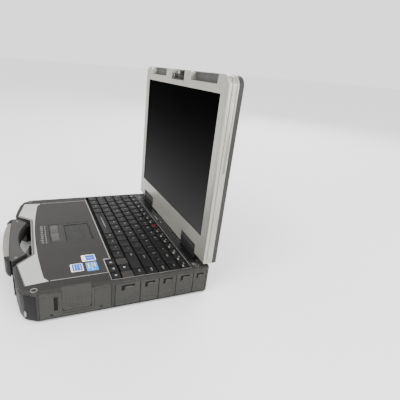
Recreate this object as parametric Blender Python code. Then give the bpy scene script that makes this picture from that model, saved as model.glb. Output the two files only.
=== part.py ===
"""Rugged laptop computer, modelled in Blender 4.5 as separate pieces.

Frame: metres, +Z up, +X to the user's right, -Y towards the user (the carry
handle is at the front), +Y to the back.  The origin is at the bottom centre of
the bounding box.  The lid stands upright at rest.  All chassis dimensions below
are in millimetres, with y measured from the front edge of the base; the root
empty then brings them into the frame of the part.
"""
import math

import bmesh
import bpy
from mathutils import Matrix, Vector

MM = 0.001
GAP = 0.3                    # running gap between neighbouring pieces

# ---- driving dimensions (mm) -------------------------------------------------
HALF_W = 151.0               # half width of base and lid
Y_MID = 124.4                # chassis y that becomes the frame's y = 0
CASE_BOTTOM = 2.0            # underside of the base
CASE_SPLIT = 42.7            # top of the lower case
DECK = 46.3                  # deck surface
FLOOR_T = 2.5                # base floor thickness
WALL = 5.2                   # base wall thickness
REAR = 264.0                 # rear face of the base
DECK_REAR = 249.4            # where the deck stops in front of the hinge trough
TROUGH_HALF = 128.0          # half width of the hinge trough
SHELF = 39.7                 # bottom of the hinge trough

HINGE_Y, HINGE_Z = 258.7, 56.0
HINGE_X0, HINGE_X1 = 71.0, 120.0
HINGE_R = 9.3
SHAFT_R = 3.5

LID_FRONT = 249.7            # front plane of the upright lid
LID_SEAM = 264.3             # seam between bezel and back shell
LID_BACK = 272.2             # back plane
LID_TOP = 311.7
LID_CHIN = 48.5
LID_CORNER = 51.0
NOTCH_X0, NOTCH_X1, NOTCH_Z = 69.5, 121.5, 68.0
SCREEN_X = 134.2
SCREEN_Z0, SCREEN_Z1 = 89.0, 288.9

KEY_BASE, KEY_TOP = 43.3, 46.6
KEY_WEB = 0.7
KEY_GAP = 1.2
KEY_INSET = 1.2

BATTERY_Y = (22.4, 114.6)
PORT_EDGES = (119.5, 155.5, 182.8, 209.4, 236.8, 258.0)
COVER_T = 2.6
COVER_Z = (4.2, 39.5)

# ---- scene -------------------------------------------------------------------
for old in list(bpy.data.objects):
    bpy.data.objects.remove(old, do_unlink=True)

PARTS = bpy.data.collections.new("laptop_computer")
CUTTERS = bpy.data.collections.new("cutters")
bpy.context.scene.collection.children.link(PARTS)
bpy.context.scene.collection.children.link(CUTTERS)

ROOT = bpy.data.objects.new("laptop_root", None)
PARTS.objects.link(ROOT)
ROOT.location = (0.0, -Y_MID * MM, 0.0)

PIVOTS = {}


def pivot(name, at, parent=None):
    """An empty on a joint's axis, in chassis millimetres."""
    empty = bpy.data.objects.new(name, None)
    empty.empty_display_size = 0.01
    PARTS.objects.link(empty)
    base = PIVOTS[parent][1] if parent else Vector((0, 0, 0))
    empty.parent = PIVOTS[parent][0] if parent else ROOT
    empty.location = (Vector(at) - base) * MM
    PIVOTS[name] = (empty, Vector(at))
    return name


def material(name, colour, roughness, metallic=0.0, alpha=1.0):
    mat = bpy.data.materials.new(name)
    mat.use_nodes = True
    bsdf = mat.node_tree.nodes["Principled BSDF"]
    bsdf.inputs["Base Color"].default_value = (*colour, 1.0)
    bsdf.inputs["Roughness"].default_value = roughness
    bsdf.inputs["Metallic"].default_value = metallic
    bsdf.inputs["Alpha"].default_value = alpha
    mat.diffuse_color = (*colour, 1.0)
    return mat


def to_object(name, bm, coll=None):
    bmesh.ops.recalc_face_normals(bm, faces=bm.faces[:])
    mesh = bpy.data.meshes.new(name)
    bm.to_mesh(mesh)
    bm.free()
    obj = bpy.data.objects.new(name, mesh)
    (coll or PARTS).objects.link(obj)
    obj.parent = ROOT
    return obj


def edit(obj, work):
    """Run a bmesh step on an object's mesh, in chassis millimetres."""
    bm = bmesh.new()
    bm.from_mesh(obj.data)
    work(bm)
    bmesh.ops.recalc_face_normals(bm, faces=bm.faces[:])
    bm.to_mesh(obj.data)
    bm.free()


def soften(obj, width, segments=1, pick=None):
    """Bevel the sharp edges that pick() accepts (both ends in millimetres)."""
    def work(bm):
        edges = []
        for e in bm.edges:
            if len(e.link_faces) != 2 or e.calc_face_angle(0.0) < math.radians(20):
                continue
            a, b = e.verts[0].co / MM, e.verts[1].co / MM
            if pick is None or pick(a, b):
                edges.append(e)
        bmesh.ops.bevel(bm, geom=edges, offset=width * MM, segments=segments,
                        profile=0.5, affect='EDGES', clamp_overlap=True)
    edit(obj, work)
    return obj


def block(name, x, y, z, coll=None, bevel=0.0, segments=1, pick=None):
    bm = bmesh.new()
    bmesh.ops.create_cube(bm, size=1.0)
    size = Vector((x[1] - x[0], y[1] - y[0], z[1] - z[0])) * MM
    mid = Vector((x[1] + x[0], y[1] + y[0], z[1] + z[0])) * (MM / 2)
    bmesh.ops.scale(bm, vec=size, verts=bm.verts[:])
    bmesh.ops.translate(bm, vec=mid, verts=bm.verts[:])
    obj = to_object(name, bm, coll)
    if bevel:
        soften(obj, bevel, segments, pick)
    return obj


AXES = {
    "Z": Matrix.Identity(4),
    # outline (x, z) in the lid's plane, thickness along y
    "Y": Matrix(((1, 0, 0, 0), (0, 0, -1, 0), (0, 1, 0, 0), (0, 0, 0, 1))),
    # outline (y, z) of a side profile, thickness along x
    "X": Matrix(((0, 0, 1, 0), (1, 0, 0, 0), (0, 1, 0, 0), (0, 0, 0, 1))),
}


def plate(name, points, span, axis="Z", coll=None, bevel=0.0, segments=1, pick=None):
    """A flat outline given thickness: a filled 2D curve turned into a mesh."""
    lo, hi = span
    curve = bpy.data.curves.new(name, 'CURVE')
    curve.dimensions = '2D'
    curve.fill_mode = 'BOTH'
    curve.extrude = (hi - lo) * MM / 2
    spline = curve.splines.new('POLY')
    spline.points.add(len(points) - 1)
    for p, (a, b) in zip(spline.points, points):
        p.co = (a * MM, b * MM, 0.0, 1.0)
    spline.use_cyclic_u = True
    tmp = bpy.data.objects.new(name + "_curve", curve)
    CUTTERS.objects.link(tmp)
    bpy.context.view_layer.update()
    mesh = bpy.data.meshes.new_from_object(
        tmp.evaluated_get(bpy.context.evaluated_depsgraph_get()))
    bpy.data.objects.remove(tmp)
    bpy.data.curves.remove(curve)
    bm = bmesh.new()
    bm.from_mesh(mesh)
    bpy.data.meshes.remove(mesh)
    bmesh.ops.remove_doubles(bm, verts=bm.verts[:], dist=0.000005)
    bmesh.ops.dissolve_limit(bm, angle_limit=math.radians(0.5),
                             verts=bm.verts[:], edges=bm.edges[:])
    middle = (hi + lo) * MM / 2
    if axis == "Y":
        middle = -middle
    bmesh.ops.translate(bm, vec=(0, 0, middle), verts=bm.verts[:])
    bmesh.ops.transform(bm, matrix=AXES[axis], verts=bm.verts[:])
    obj = to_object(name, bm, coll)
    if bevel:
        soften(obj, bevel, segments, pick)
    return obj


def rod(name, centre, radius, length, axis="X", coll=None, segments=32):
    bm = bmesh.new()
    bmesh.ops.create_cone(bm, cap_ends=True, segments=segments, radius1=radius * MM,
                          radius2=radius * MM, depth=length * MM)
    turn = {"Z": Matrix.Identity(3),
            "X": Matrix.Rotation(math.radians(90), 3, 'Y'),
            "Y": Matrix.Rotation(math.radians(90), 3, 'X')}[axis]
    bmesh.ops.rotate(bm, matrix=turn, verts=bm.verts[:])
    bmesh.ops.translate(bm, vec=Vector(centre) * MM, verts=bm.verts[:])
    return to_object(name, bm, coll)


def boolean(obj, other, operation='DIFFERENCE'):
    mod = obj.modifiers.new(operation.lower() + "_" + other.name[:30], 'BOOLEAN')
    mod.operation = operation
    mod.solver = 'EXACT'
    mod.object = other
    other.hide_render = True
    other.display_type = 'WIRE'
    return obj


def cut(obj, *cutters):
    for c in cutters:
        boolean(obj, c)
    return obj


def cbox(name, x, y, z):
    return block("cut_" + name, x, y, z, CUTTERS)


def finish(obj, mat, at=None, smooth=False):
    """Give the material, and put the origin on the piece's pivot."""
    obj.data.materials.clear()
    obj.data.materials.append(mat)
    if at:
        empty, base = PIVOTS[at]
        obj.data.transform(Matrix.Translation(-base * MM))
        obj.parent = empty
        obj.location = (0.0, 0.0, 0.0)
    if smooth:
        obj.data.shade_smooth()
        obj.data.set_sharp_from_angle(angle=math.radians(35))
    return obj


def mirrored(points):
    """Right half outline (x > 0), going round to the mirrored left half."""
    return list(points) + [(-a, b) for a, b in reversed(points)]


def offset(points, d):
    """Move each side of an anticlockwise outline inwards by d."""
    out = []
    n = len(points)
    for i in range(n):
        p0, p1, p2 = (Vector(points[(i + k) % n]) for k in (-1, 0, 1))
        e1, e2 = (p1 - p0).normalized(), (p2 - p1).normalized()
        n1, n2 = Vector((-e1.y, e1.x)), Vector((-e2.y, e2.x))
        m = (n1 + n2)
        m = m / max(m.dot(n1), 0.2)
        out.append(tuple(p1 + m * d))
    return out


# ---- materials ---------------------------------------------------------------
M_CASE = material("case_magnesium", (0.115, 0.113, 0.105), 0.55, 0.2)
M_DECK = material("deck_magnesium", (0.095, 0.090, 0.085), 0.55, 0.2)
M_TRIM = material("trim_silver", (0.55, 0.56, 0.53), 0.42, 0.6)
M_PALM = material("palmrest_magnesium", (0.088, 0.082, 0.078), 0.6, 0.2)
M_BEZEL = material("bezel_silver", (0.52, 0.52, 0.48), 0.42, 0.5)
M_LIDBACK = material("lid_magnesium", (0.14, 0.138, 0.128), 0.6, 0.2)
M_BADGE = material("badge_plastic", (0.055, 0.053, 0.051), 0.4)
M_KEY = material("key_plastic", (0.022, 0.022, 0.022), 0.45)
M_TRAY = material("tray_plastic", (0.02, 0.02, 0.02), 0.6)
M_PAD = material("touchpad_film", (0.05, 0.05, 0.05), 0.5)
M_BUTTON = material("pad_button_plastic", (0.11, 0.11, 0.11), 0.45)
M_BAR = material("bar_gloss_plastic", (0.02, 0.02, 0.022), 0.2)
M_HINGE = material("hinge_plastic", (0.035, 0.035, 0.035), 0.5)
M_STEEL = material("hinge_steel", (0.5, 0.5, 0.5), 0.3, 1.0)
M_COVER = material("port_cover_plastic", (0.105, 0.105, 0.098), 0.55)
M_HANDLE = material("handle_grip_plastic", (0.05, 0.05, 0.052), 0.6)
M_BAND = material("handle_band_metal", (0.42, 0.39, 0.33), 0.45, 0.6)
M_RUBBER = material("foot_rubber", (0.02, 0.02, 0.02), 0.85)
M_BOARD = material("board_green", (0.02, 0.10, 0.04), 0.5)
M_ALU = material("heat_spreader_aluminium", (0.6, 0.6, 0.6), 0.35, 1.0)
M_CELL = material("battery_plastic", (0.03, 0.03, 0.03), 0.5)
M_SCREEN = material("panel_dark", (0.02, 0.02, 0.022), 0.3)
M_GLASS = material("screen_glass", (0.03, 0.03, 0.03), 0.12)
M_LATCH = material("latch_plastic", (0.02, 0.02, 0.02), 0.4)
M_PORTS = material("port_block_plastic", (0.03, 0.03, 0.03), 0.45)

# ---- pivots ------------------------------------------------------------------
pivot("lid_axis", (0, HINGE_Y, HINGE_Z))
pivot("latch_axis", (0, 256.0, 300.0), "lid_axis")
pivot("battery_axis", (148.2, 68.5, 23.0))
pivot("battery_latch_axis", (150.4, 69.2, 13.4), "battery_axis")

# ---- base: lower case --------------------------------------------------------
half = [(58.8, 17.5), (79.0, -3.0), (79.8, -5.8), (86.0, -7.4), (105.0, -4.8),
        (130.0, -0.1), (143.0, 5.5), (HALF_W, 20.0), (HALF_W, 258.0),
        (149.2, 262.2), (145.0, REAR)]
BASE = mirrored(half)

lower = plate("base_bottom_case", BASE, (CASE_BOTTOM, CASE_SPLIT), bevel=1.2,
              pick=lambda a, b: abs(a.z - CASE_BOTTOM) < .01 and abs(b.z - CASE_BOTTOM) < .01)
inner = [(a, min(b, 247.5)) for a, b in offset(BASE, WALL)]
inner = [p for i, p in enumerate(inner)
         if i == 0 or (Vector(p) - Vector(inner[i - 1])).length > 0.5]
cut(lower,
    plate("cut_lower_cavity", inner, (CASE_BOTTOM + FLOOR_T, 50.0), coll=CUTTERS),
    cbox("under_shelf", (-125, 125), (246, REAR - WALL), (CASE_BOTTOM + FLOOR_T, 32.5)),
    cbox("tray_seat", (-147.6, 147.6), (115.0, 234.6), (40.1, 50)),
    cbox("trough", (-TROUGH_HALF, TROUGH_HALF), (DECK_REAR, 270), (SHELF, 50)),
    cbox("hinge_seat_right", (HINGE_X0 - GAP, HINGE_X1 + GAP), (249.7, 270), (35.0, 50)),
    cbox("hinge_seat_left", (-HINGE_X1 - GAP, -HINGE_X0 + GAP), (249.7, 270), (35.0, 50)),
    cbox("battery_pocket", (148.1, 160), (22.1, 114.9), (3.7, 50)),
    cbox("battery_bay", (140, 150), (24.4, 112.6), (5.6, 50)),
    cbox("cover_pocket_right", (148.1, 160), (PORT_EDGES[0] - GAP, PORT_EDGES[-1] + GAP),
         (3.7, 39.8)),
    cbox("rear_pocket_centre", (-17.3, 68.3), (261.1, 270), (6.7, 32.3)),
    cbox("rear_pocket_side", (-144.3, -105.7), (261.1, 270), (4.7, 33.3)),
    cbox("drive_mouth", (-160, -140), (25.7, 156.3), (6.7, 22.3)),
    cbox("disk_pocket", (-160, -148.1), (29.7, 110.3), (24.7, 39.3)),
    cbox("card_pocket", (-160, -148.1), (165.7, 226.3), (8.7, 30.3)),
    cbox("card_slot", (-160, -140), (169, 223), (14, 20)))

# sockets in the right wall, behind the covers: (y0, y1, z0, z1)
SOCKETS = ((125.0, 132.0, 12.0, 26.0), (136.0, 151.0, 12.0, 20.0),
           (162.0, 176.0, 12.0, 22.0), (189.0, 203.0, 12.0, 21.0),
           (215.0, 231.0, 12.0, 21.0), (238.6, 245.6, 12.0, 20.0))
for i, (y0, y1, z0, z1) in enumerate(SOCKETS):
    cut(lower, cbox("socket_wall_%d" % i, (140, 150), (y0 - .4, y1 + .4), (z0 - .4, z1 + .4)))
cut(lower,
    cbox("rear_socket_1", (-8, 12), (255, 268), (12, 22)),
    cbox("rear_socket_2", (24, 52), (255, 268), (12, 22)),
    cbox("rear_socket_3", (-136, -114), (255, 268), (12, 22)))
finish(lower, M_CASE)

# ---- base: upper case (deck) -------------------------------------------------
def deck_edge(a, b):
    if abs(a.z - DECK) > .01 or abs(b.z - DECK) > .01:
        return False
    return not (abs(a.x) < 79.3 and abs(b.x) < 79.3 and a.y < 18 and b.y < 18)


upper = plate("base_top_case", BASE, (CASE_SPLIT + GAP, DECK), bevel=2.4, pick=deck_edge)


def rear_arc(grow):
    return [(x, 23.5 + 7.5 * (x / 120.0) ** 2 + grow)
            for x in [120 - 240 * i / 24 for i in range(25)]]


TRIM = ([(79.3, -2.8), (132.0, 7.5), (129.0, 37.0)] + rear_arc(0.0)
        + [(-129.0, 37.0), (-132.0, 7.5), (-79.3, -2.8), (-59.0, 17.8), (59.0, 17.8)])
PALM = ([(128.6, 38.0)] + rear_arc(0.4)
        + [(-128.6, 38.0), (-128.6, 124.2), (95.0, 124.2), (95.0, 114.7), (128.6, 114.7)])
SEAT = [(77.0, -3.6), (79.3, -3.3), (132.4, 7.2), (129.3, 37.0), (129.0, 115.0),
        (129.0, 125.0), (-129.0, 125.0), (-129.3, 37.0), (-132.4, 7.2), (-79.3, -3.3),
        (-77.0, -3.6), (-57.5, 16.0), (57.5, 16.0)]
TRAY = [(-147.2, 124.8), (95.7, 124.8), (95.7, 115.3), (147.2, 115.3), (147.2, 234.2),
        (-147.2, 234.2)]
HOLE = [(-147.5, 124.5), (95.4, 124.5), (95.4, 115.0), (147.5, 115.0), (147.5, 234.5),
        (-147.5, 234.5)]
cut(upper,
    plate("cut_plate_seat", SEAT, (44.7, 50.0), coll=CUTTERS),
    plate("cut_keyboard_hole", HOLE, (40.0, 50.0), coll=CUTTERS),
    cbox("deck_trough", (-TROUGH_HALF, TROUGH_HALF), (DECK_REAR, 270), (40, 50)),
    cbox("bar_seat", (-134.3, 134.3), (235.6, 249.6), (44.2, 50)),
    cbox("latch_tab_side", (149.6, 160), (50.1, 88.4), (40, 50)),
    cbox("latch_tab_lip", (144.7, 160), (50.1, 88.4), (45.2, 50)),
    rod("cut_power_hole", (140.0, 240.5, 45.0), 3.3, 10, "Z", CUTTERS, 24),
    cbox("lid_corner_right", (TROUGH_HALF - 1, 160), (249.8, 270), (45.9, 50)),
    cbox("lid_corner_left", (-160, -TROUGH_HALF + 1), (249.8, 270), (45.9, 50)))
finish(upper, M_DECK)

trim = plate("front_trim_plate", TRIM, (45.0, DECK), bevel=0.4,
             pick=lambda a, b: a.z > 46.2 and b.z > 46.2)
finish(trim, M_TRIM)
palm = plate("palmrest_plate", PALM, (45.0, DECK))
cut(palm, cbox("touchpad_window", (-33.0, 30.6), (45.5, 113.0), (40, 50)))
finish(palm, M_PALM)

pad = block("touchpad_sensor", (-26.8, 29.8), (71.0, 110.4), (45.0, 45.7), bevel=0.25,
            pick=lambda a, b: a.z > 45.6 and b.z > 45.6)
finish(pad, M_PAD)
for side, x0, x1 in (("left", -28.0, -2.2), ("right", -1.4, 24.4)):
    b = block("touchpad_button_" + side, (x0, x1), (49.4, 60.2), (45.4, 46.2),
              bevel=0.3, pick=lambda a, b: a.z > 46.1 and b.z > 46.1)
    finish(b, M_BUTTON)

# ---- keyboard ----------------------------------------------------------------
tray = plate("keyboard_tray", TRAY, (40.4, 46.0))
PAN = [(-146.3, 125.7), (96.6, 125.7), (96.6, 116.2), (146.3, 116.2), (146.3, 131.5),
       (130.5, 131.5), (130.5, 148.1), (146.3, 148.1), (146.3, 233.4), (-146.3, 233.4)]
cut(tray, plate("cut_tray_pan", PAN, (41.5, 50.0), coll=CUTTERS))
boolean(tray, block("join_tray_filler", (97.3, 113.5), (131.5, 148.1), (41.0, 45.6), CUTTERS),
        'UNION')
boolean(tray, block("cut_tray_filler_top", (130.0, 150.0), (131.0, 148.6), (45.6, 50.0),
                    CUTTERS))
finish(tray, M_TRAY)

ROW_Y = {"bottom": (131.2, 147.6), "lower": (148.9, 165.3), "home": (166.6, 183.0),
         "upper": (184.3, 200.7), "number": (202.0, 218.4), "function": (219.7, 232.9)}


def cap_into(bm, x0, x1, y0, y1):
    """One key: a cube narrowed towards its top."""
    made = bmesh.ops.create_cube(bm, size=1.0)["verts"]
    bmesh.ops.scale(bm, vec=Vector((x1 - x0, y1 - y0, KEY_TOP - KEY_BASE)) * MM, verts=made)
    tops = [v for v in made if v.co.z > 0]
    bmesh.ops.scale(bm, vec=(1 - 2 * KEY_INSET / (x1 - x0), 1 - 2 * KEY_INSET / (y1 - y0), 1),
                    verts=tops)
    bmesh.ops.translate(bm, vec=Vector(((x0 + x1) / 2, (y0 + y1) / 2,
                                        (KEY_TOP + KEY_BASE) / 2)) * MM, verts=made)


def key_group(name, caps, web):
    """Keys of one group, joined under their caps by a thin web."""
    bm = bmesh.new()
    for c in caps:
        cap_into(bm, *c)
    caps_obj = to_object("join_" + name, bm, CUTTERS)
    obj = block(name, web[0], web[1], (KEY_BASE, KEY_BASE + KEY_WEB))
    boolean(obj, caps_obj, 'UNION')
    return finish(obj, M_KEY)


def key_single(name, x0, x1, y0, y1):
    bm = bmesh.new()
    cap_into(bm, x0, x1, y0, y1)
    return finish(to_object(name, bm), M_KEY)


def split(start, widths):
    """Keys side by side from start; widths include the gap."""
    out, x = [], start
    for w in widths:
        out.append((x, x + w - KEY_GAP))
        x += w
    return out


def row(name, key, spans):
    y0, y1 = ROW_Y[key]
    mid = (y0 + y1) / 2
    key_group(name, [(a, b, y0, y1) for a, b in spans],
              ((spans[0][0] + 3, spans[-1][1] - 3), (mid - 3, mid + 3)))


PITCH = 19.0
LEFT = -146.0
row("key_row_function", "function", split(LEFT, [18.3] * 16))
row("key_row_number", "number", split(LEFT, [PITCH] * 13 + [27.7]))
row("key_row_upper", "upper", split(LEFT, [27.0] + [PITCH] * 12 + [19.7]))
row("key_row_home", "home", split(LEFT, [32.0] + [PITCH] * 11))
row("key_row_lower", "lower", split(LEFT, [42.0] + [PITCH] * 10 + [42.7]))
row("key_row_bottom_left", "bottom", split(LEFT, [20.0, 20.4, 20.0, 19.8]))
row("key_row_bottom_right", "bottom", split(20.2, [PITCH, PITCH, PITCH, 18.8]))
y_home = ROW_Y["home"]
key_single("key_space_bar", -65.4, 19.0, *ROW_Y["bottom"])
key_single("key_enter", 95.4, 127.7, *y_home)
key_group("key_column_navigation",
          [(129.4, 146.0, *ROW_Y[r]) for r in ("lower", "home", "upper", "number")],
          ((134.5, 140.9), (ROW_Y["lower"][0] + 3, ROW_Y["number"][1] - 3)))
key_single("key_arrow_left", 97.4, 113.2, 116.6, 130.4)
key_single("key_arrow_down", 114.2, 129.8, 116.6, 130.4)
key_single("key_arrow_right", 130.9, 146.0, 116.6, 130.4)
key_single("key_arrow_up", 114.2, 129.8, 131.9, 147.6)

# ---- rear of the deck --------------------------------------------------------
bar = block("rear_deck_bar", (-134.0, 134.0), (235.9, 249.1), (44.5, DECK), bevel=1.4,
            segments=3, pick=lambda a, b: a.z > 46 and b.z > 46 and abs(a.y - b.y) < 1)
finish(bar, M_BAR, smooth=True)
power = rod("power_button", (140.0, 240.5, 45.1), 3.0, 3.2, "Z", segments=24)
finish(power, M_BUTTON, smooth=True)

# ---- hinges ------------------------------------------------------------------
def hinge_profile():
    pts = [(250.0, 35.3), (267.6, 35.3)]
    steps = 20
    for i in range(steps + 1):
        a = math.radians(-16 + (212 * i / steps))
        pts.append((HINGE_Y + HINGE_R * math.cos(a), HINGE_Z + HINGE_R * math.sin(a)))
    pts[2] = (267.6, pts[2][1])
    pts[-1] = (250.0, pts[-1][1])
    return pts


for side, sg in (("left", -1), ("right", 1)):
    xs = sorted((sg * HINGE_X0, sg * HINGE_X1))
    cover = plate("hinge_cover_" + side, hinge_profile(), xs, "X")
    cut(cover, rod("cut_hinge_bore_" + side, (sg * (HINGE_X0 + HINGE_X1 - 2) / 2, HINGE_Y, HINGE_Z),
                   SHAFT_R + 0.1, HINGE_X1 - HINGE_X0 - 1.0 + 1.0, "X", CUTTERS, 32))
    finish(cover, M_HINGE, smooth=True)
    shaft = rod("hinge_shaft_" + side, (sg * (61.6 + 118.4) / 2, HINGE_Y, HINGE_Z), SHAFT_R,
                118.4 - 61.6, "X")
    finish(shaft, M_STEEL, "lid_axis", smooth=True)
    xb = sorted((sg * 61.6, sg * 69.0))
    arm = block("hinge_bracket_" + side, xb, (253.2, 264.0), (50.6, 84.0), bevel=0.8,
                pick=lambda a, b: abs(a.x - b.x) > 1)
    cut(arm, rod("cut_bracket_bore_" + side, (sg * 65.0, HINGE_Y, HINGE_Z), SHAFT_R + 0.3, 20,
                 "X", CUTTERS, 32))
    finish(arm, M_STEEL, "lid_axis")

# ---- right side: port covers and battery -------------------------------------
for i in range(5):
    y0, y1 = PORT_EDGES[i] + GAP / 2, PORT_EDGES[i + 1] - GAP / 2
    name = "port_cover_right_%d" % (i + 1)
    cov = block(name, (HALF_W - COVER_T, HALF_W), (y0, y1), COVER_Z, bevel=0.8,
                pick=lambda a, b: a.z < 5 and b.z < 5 and abs(a.x - b.x) < .1)
    at = pivot(name + "_axis", (149.7, (y0 + y1) / 2, 5.5))
    finish(cov, M_COVER, at)

pack = block("battery_pack", (62.0, 148.1), (25.0, 112.0), (6.0, 41.5), bevel=1.0)
finish(pack, M_CELL, "battery_axis")
end = block("battery_end_cover", (148.4, HALF_W), BATTERY_Y, (4.0, 42.4), bevel=0.5,
            pick=lambda a, b: a.x > 150 and b.x > 150)
cut(end, cbox("end_tab_pocket", (149.3, 160), (50.1, 88.4), (11.6, 50)))
finish(end, M_COVER, "battery_axis")
TAB = [(149.9, 12.1), (HALF_W, 12.1), (HALF_W, 44.0), (149.6, 46.8), (145.0, 46.8), (145.0, 45.5),
       (149.9, 45.5)]
tab = plate("battery_latch_tab", [(-z, x) for x, z in TAB], (50.5, 88.0), "Z")
edit(tab, lambda bm: bmesh.ops.transform(
    bm, matrix=Matrix(((0, 1, 0, 0), (0, 0, 1, 0), (-1, 0, 0, 0), (0, 0, 0, 1))),
    verts=bm.verts[:]))
finish(tab, M_COVER, "battery_latch_axis")

# ---- left side: drive module, disk and card covers ---------------------------
drive = block("optical_drive", (-HALF_W, -20.0), (26.0, 156.0), (7.0, 22.0), bevel=0.6,
              pick=lambda a, b: a.x < -150 and b.x < -150)
pivot("optical_drive_axis", (-HALF_W, 91.0, 14.5))
finish(drive, M_COVER, "optical_drive_axis")
disk = block("hard_drive_caddy", (-145.0, -44.0), (32.0, 108.0), (25.0, 38.0), bevel=0.8)
finish(disk, M_ALU)
for name, ys, zs in (("hard_drive_cover", (30.0, 110.0), (25.0, 39.0)),
                     ("card_slot_cover", (166.0, 226.0), (9.0, 30.0))):
    cov = block(name, (-HALF_W, -HALF_W + COVER_T), ys, zs, bevel=0.8,
                pick=lambda a, b, z=zs[0]: a.z < z + .5 and b.z < z + .5 and abs(a.x - b.x) < .1)
    at = pivot(name + "_axis", (-149.7, (ys[0] + ys[1]) / 2, zs[0] + 1.3))
    finish(cov, M_COVER, at)

# ---- rear port covers --------------------------------------------------------
for name, xs, zs in (("rear_port_cover_centre", (-17.0, 68.0), (7.0, 32.0)),
                     ("rear_port_cover_side", (-144.0, -106.0), (5.0, 33.0))):
    cov = block(name, xs, (REAR - COVER_T, REAR), zs, bevel=0.8,
                pick=lambda a, b, z=zs[0]: a.z < z + .5 and b.z < z + .5 and abs(a.y - b.y) < .1)
    at = pivot(name + "_axis", ((xs[0] + xs[1]) / 2, 262.7, zs[0] + 1.3))
    finish(cov, M_COVER, at)

# ---- inside ------------------------------------------------------------------
ports = block("port_block_right", (128.0, 145.4), (121.0, 246.6), (8.0, 32.0))
for i, (y0, y1, z0, z1) in enumerate(SOCKETS):
    cut(ports, cbox("socket_%d" % i, (134.0, 150.0), (y0, y1), (z0, z1)))
finish(ports, M_PORTS)
board = block("main_board", (-120.0, 127.0), (160.0, 244.0), (24.0, 25.6))
finish(board, M_BOARD)
sink = block("heat_spreader", (-70.0, 30.0), (170.0, 240.0), (26.0, 36.0))
cut(sink, *[cbox("fin_%d" % i, (-60.0 + 9 * i, -56.0 + 9 * i), (176.0, 245.0), (30.0, 40.0))
            for i in range(9)])
finish(sink, M_ALU)

# ---- handle ------------------------------------------------------------------
def arch(x_end, y_end, y_mid, n=12, power_=2.2):
    return [(x_end * (1 - 2 * i / n),
             y_mid + (y_end - y_mid) * abs(1 - 2 * i / n) ** power_) for i in range(n + 1)]


GRIP = ([(-70.0, -9.0)] + [(-x, y) for x, y in arch(64.0, -12.4, -14.0)]
        + [(70.0, -9.0)] + arch(52.0, 11.0, -1.0))
grip = plate("handle_grip", GRIP, (20.5, 45.8), bevel=1.2,
             pick=lambda a, b: a.z > 45.7 and b.z > 45.7 or a.z < 20.6 and b.z < 20.6)
for side, sg in (("left", -1), ("right", 1)):
    leg = [(sg * x, y) for x, y in ((66.0, -11.0), (49.0, 9.0), (58.2, 17.0), (78.2, -3.6))]
    boolean(grip, plate("join_handle_leg_" + side, leg, (8.0, 37.0), coll=CUTTERS), 'UNION')
finish(grip, M_HANDLE)
BAND = ([(-69.0, -12.3)] + [(-x, y) for x, y in arch(66.0, -15.5, -24.0, 14, 2.6)]
        + [(69.0, -12.3)] + arch(64.0, -12.9, -14.5))
band = plate("handle_front_cover", BAND, (20.8, 45.5), bevel=3.0, segments=3,
             pick=lambda a, b: (a.z > 45.4 and b.z > 45.4 or a.z < 20.9 and b.z < 20.9)
             and a.y + b.y < -29.6)
finish(band, M_BAND, smooth=True)

# ---- feet --------------------------------------------------------------------
for name, x, y in (("foot_front_left", -124.0, 26.0), ("foot_front_right", 124.0, 26.0),
                   ("foot_rear_left", -124.0, 240.0), ("foot_rear_right", 124.0, 240.0)):
    foot = block(name, (x - 15, x + 15), (y - 7, y + 7), (0.0, 1.7), bevel=3.0, segments=3,
                 pick=lambda a, b: abs(a.z - b.z) > 1)
    finish(foot, M_RUBBER)

# ---- lid ---------------------------------------------------------------------
LID_R = 13.0                 # radius of the lid's upper corners
LID = mirrored([(148.0, LID_CHIN), (HALF_W, 52.0)]
               + [(HALF_W - LID_R + LID_R * math.cos(math.radians(a)),
                   LID_TOP - LID_R + LID_R * math.sin(math.radians(a)))
                  for a in range(0, 91, 15)])
CORNER_CUT = [(240.0, 30.0), (290.0, 30.0), (290.0, LID_CORNER), (252.2, LID_CORNER),
              (LID_FRONT, 53.5), (240.0, 53.5)]


def notches(tag):
    """Cutters for the hinge notches, and for the raised lower corners beside them."""
    out = []
    for side, sg in (("left", -1), ("right", 1)):
        out.append(cbox("hinge_notch_%s_%s" % (tag, side), sorted((sg * NOTCH_X0, sg * NOTCH_X1)),
                        (240, 290), (30, NOTCH_Z)))
        out.append(plate("cut_corner_%s_%s" % (tag, side), CORNER_CUT,
                         sorted((sg * 121.0, sg * 160.0)), "X", CUTTERS))
    return out


bezel = plate("lid_front_bezel", LID, (LID_FRONT, LID_SEAM), "Y", bevel=0.8,
              pick=lambda a, b: a.y < 250 and b.y < 250 and a.z > 51 and b.z > 51)
cut(bezel, *notches("bezel"),
    cbox("screen_opening", (-SCREEN_X, SCREEN_X), (240, 280), (SCREEN_Z0, SCREEN_Z1)),
    cbox("bezel_cavity", (-147.5, 147.5), (252.5, 280), (71.0, 294.5)),
    cbox("bracket_pocket_right", (61.2, 71.0), (252.9, 280), (50.3, 72.0)),
    cbox("bracket_pocket_left", (-71.0, -61.2), (252.9, 280), (50.3, 72.0)),
    plate("cut_top_recess_right", [(46.0, 299.5), (123.0, 299.5), (127.0, 330), (42.0, 330)],
          (240.0, 258.3), "Y", CUTTERS),
    plate("cut_top_recess_left", [(-121.0, 299.5), (-50.0, 299.5), (-46.0, 330), (-125.0, 330)],
          (240.0, 258.3), "Y", CUTTERS),
    cbox("latch_pocket", (-26.0, 23.0), (240, 259.3), (296.4, 330)))
finish(bezel, M_BEZEL, "lid_axis")

panel = block("display_panel", (-137.5, 137.5), (253.0, 259.5), (86.0, 291.2), bevel=0.5)
finish(panel, M_SCREEN, "lid_axis")
glass = block("display_glass", (-133.9, 133.9), (251.2, 252.7), (89.3, 288.6), bevel=0.3,
              pick=lambda a, b: a.y < 252 and b.y < 252)
finish(glass, M_GLASS, "lid_axis")

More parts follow.
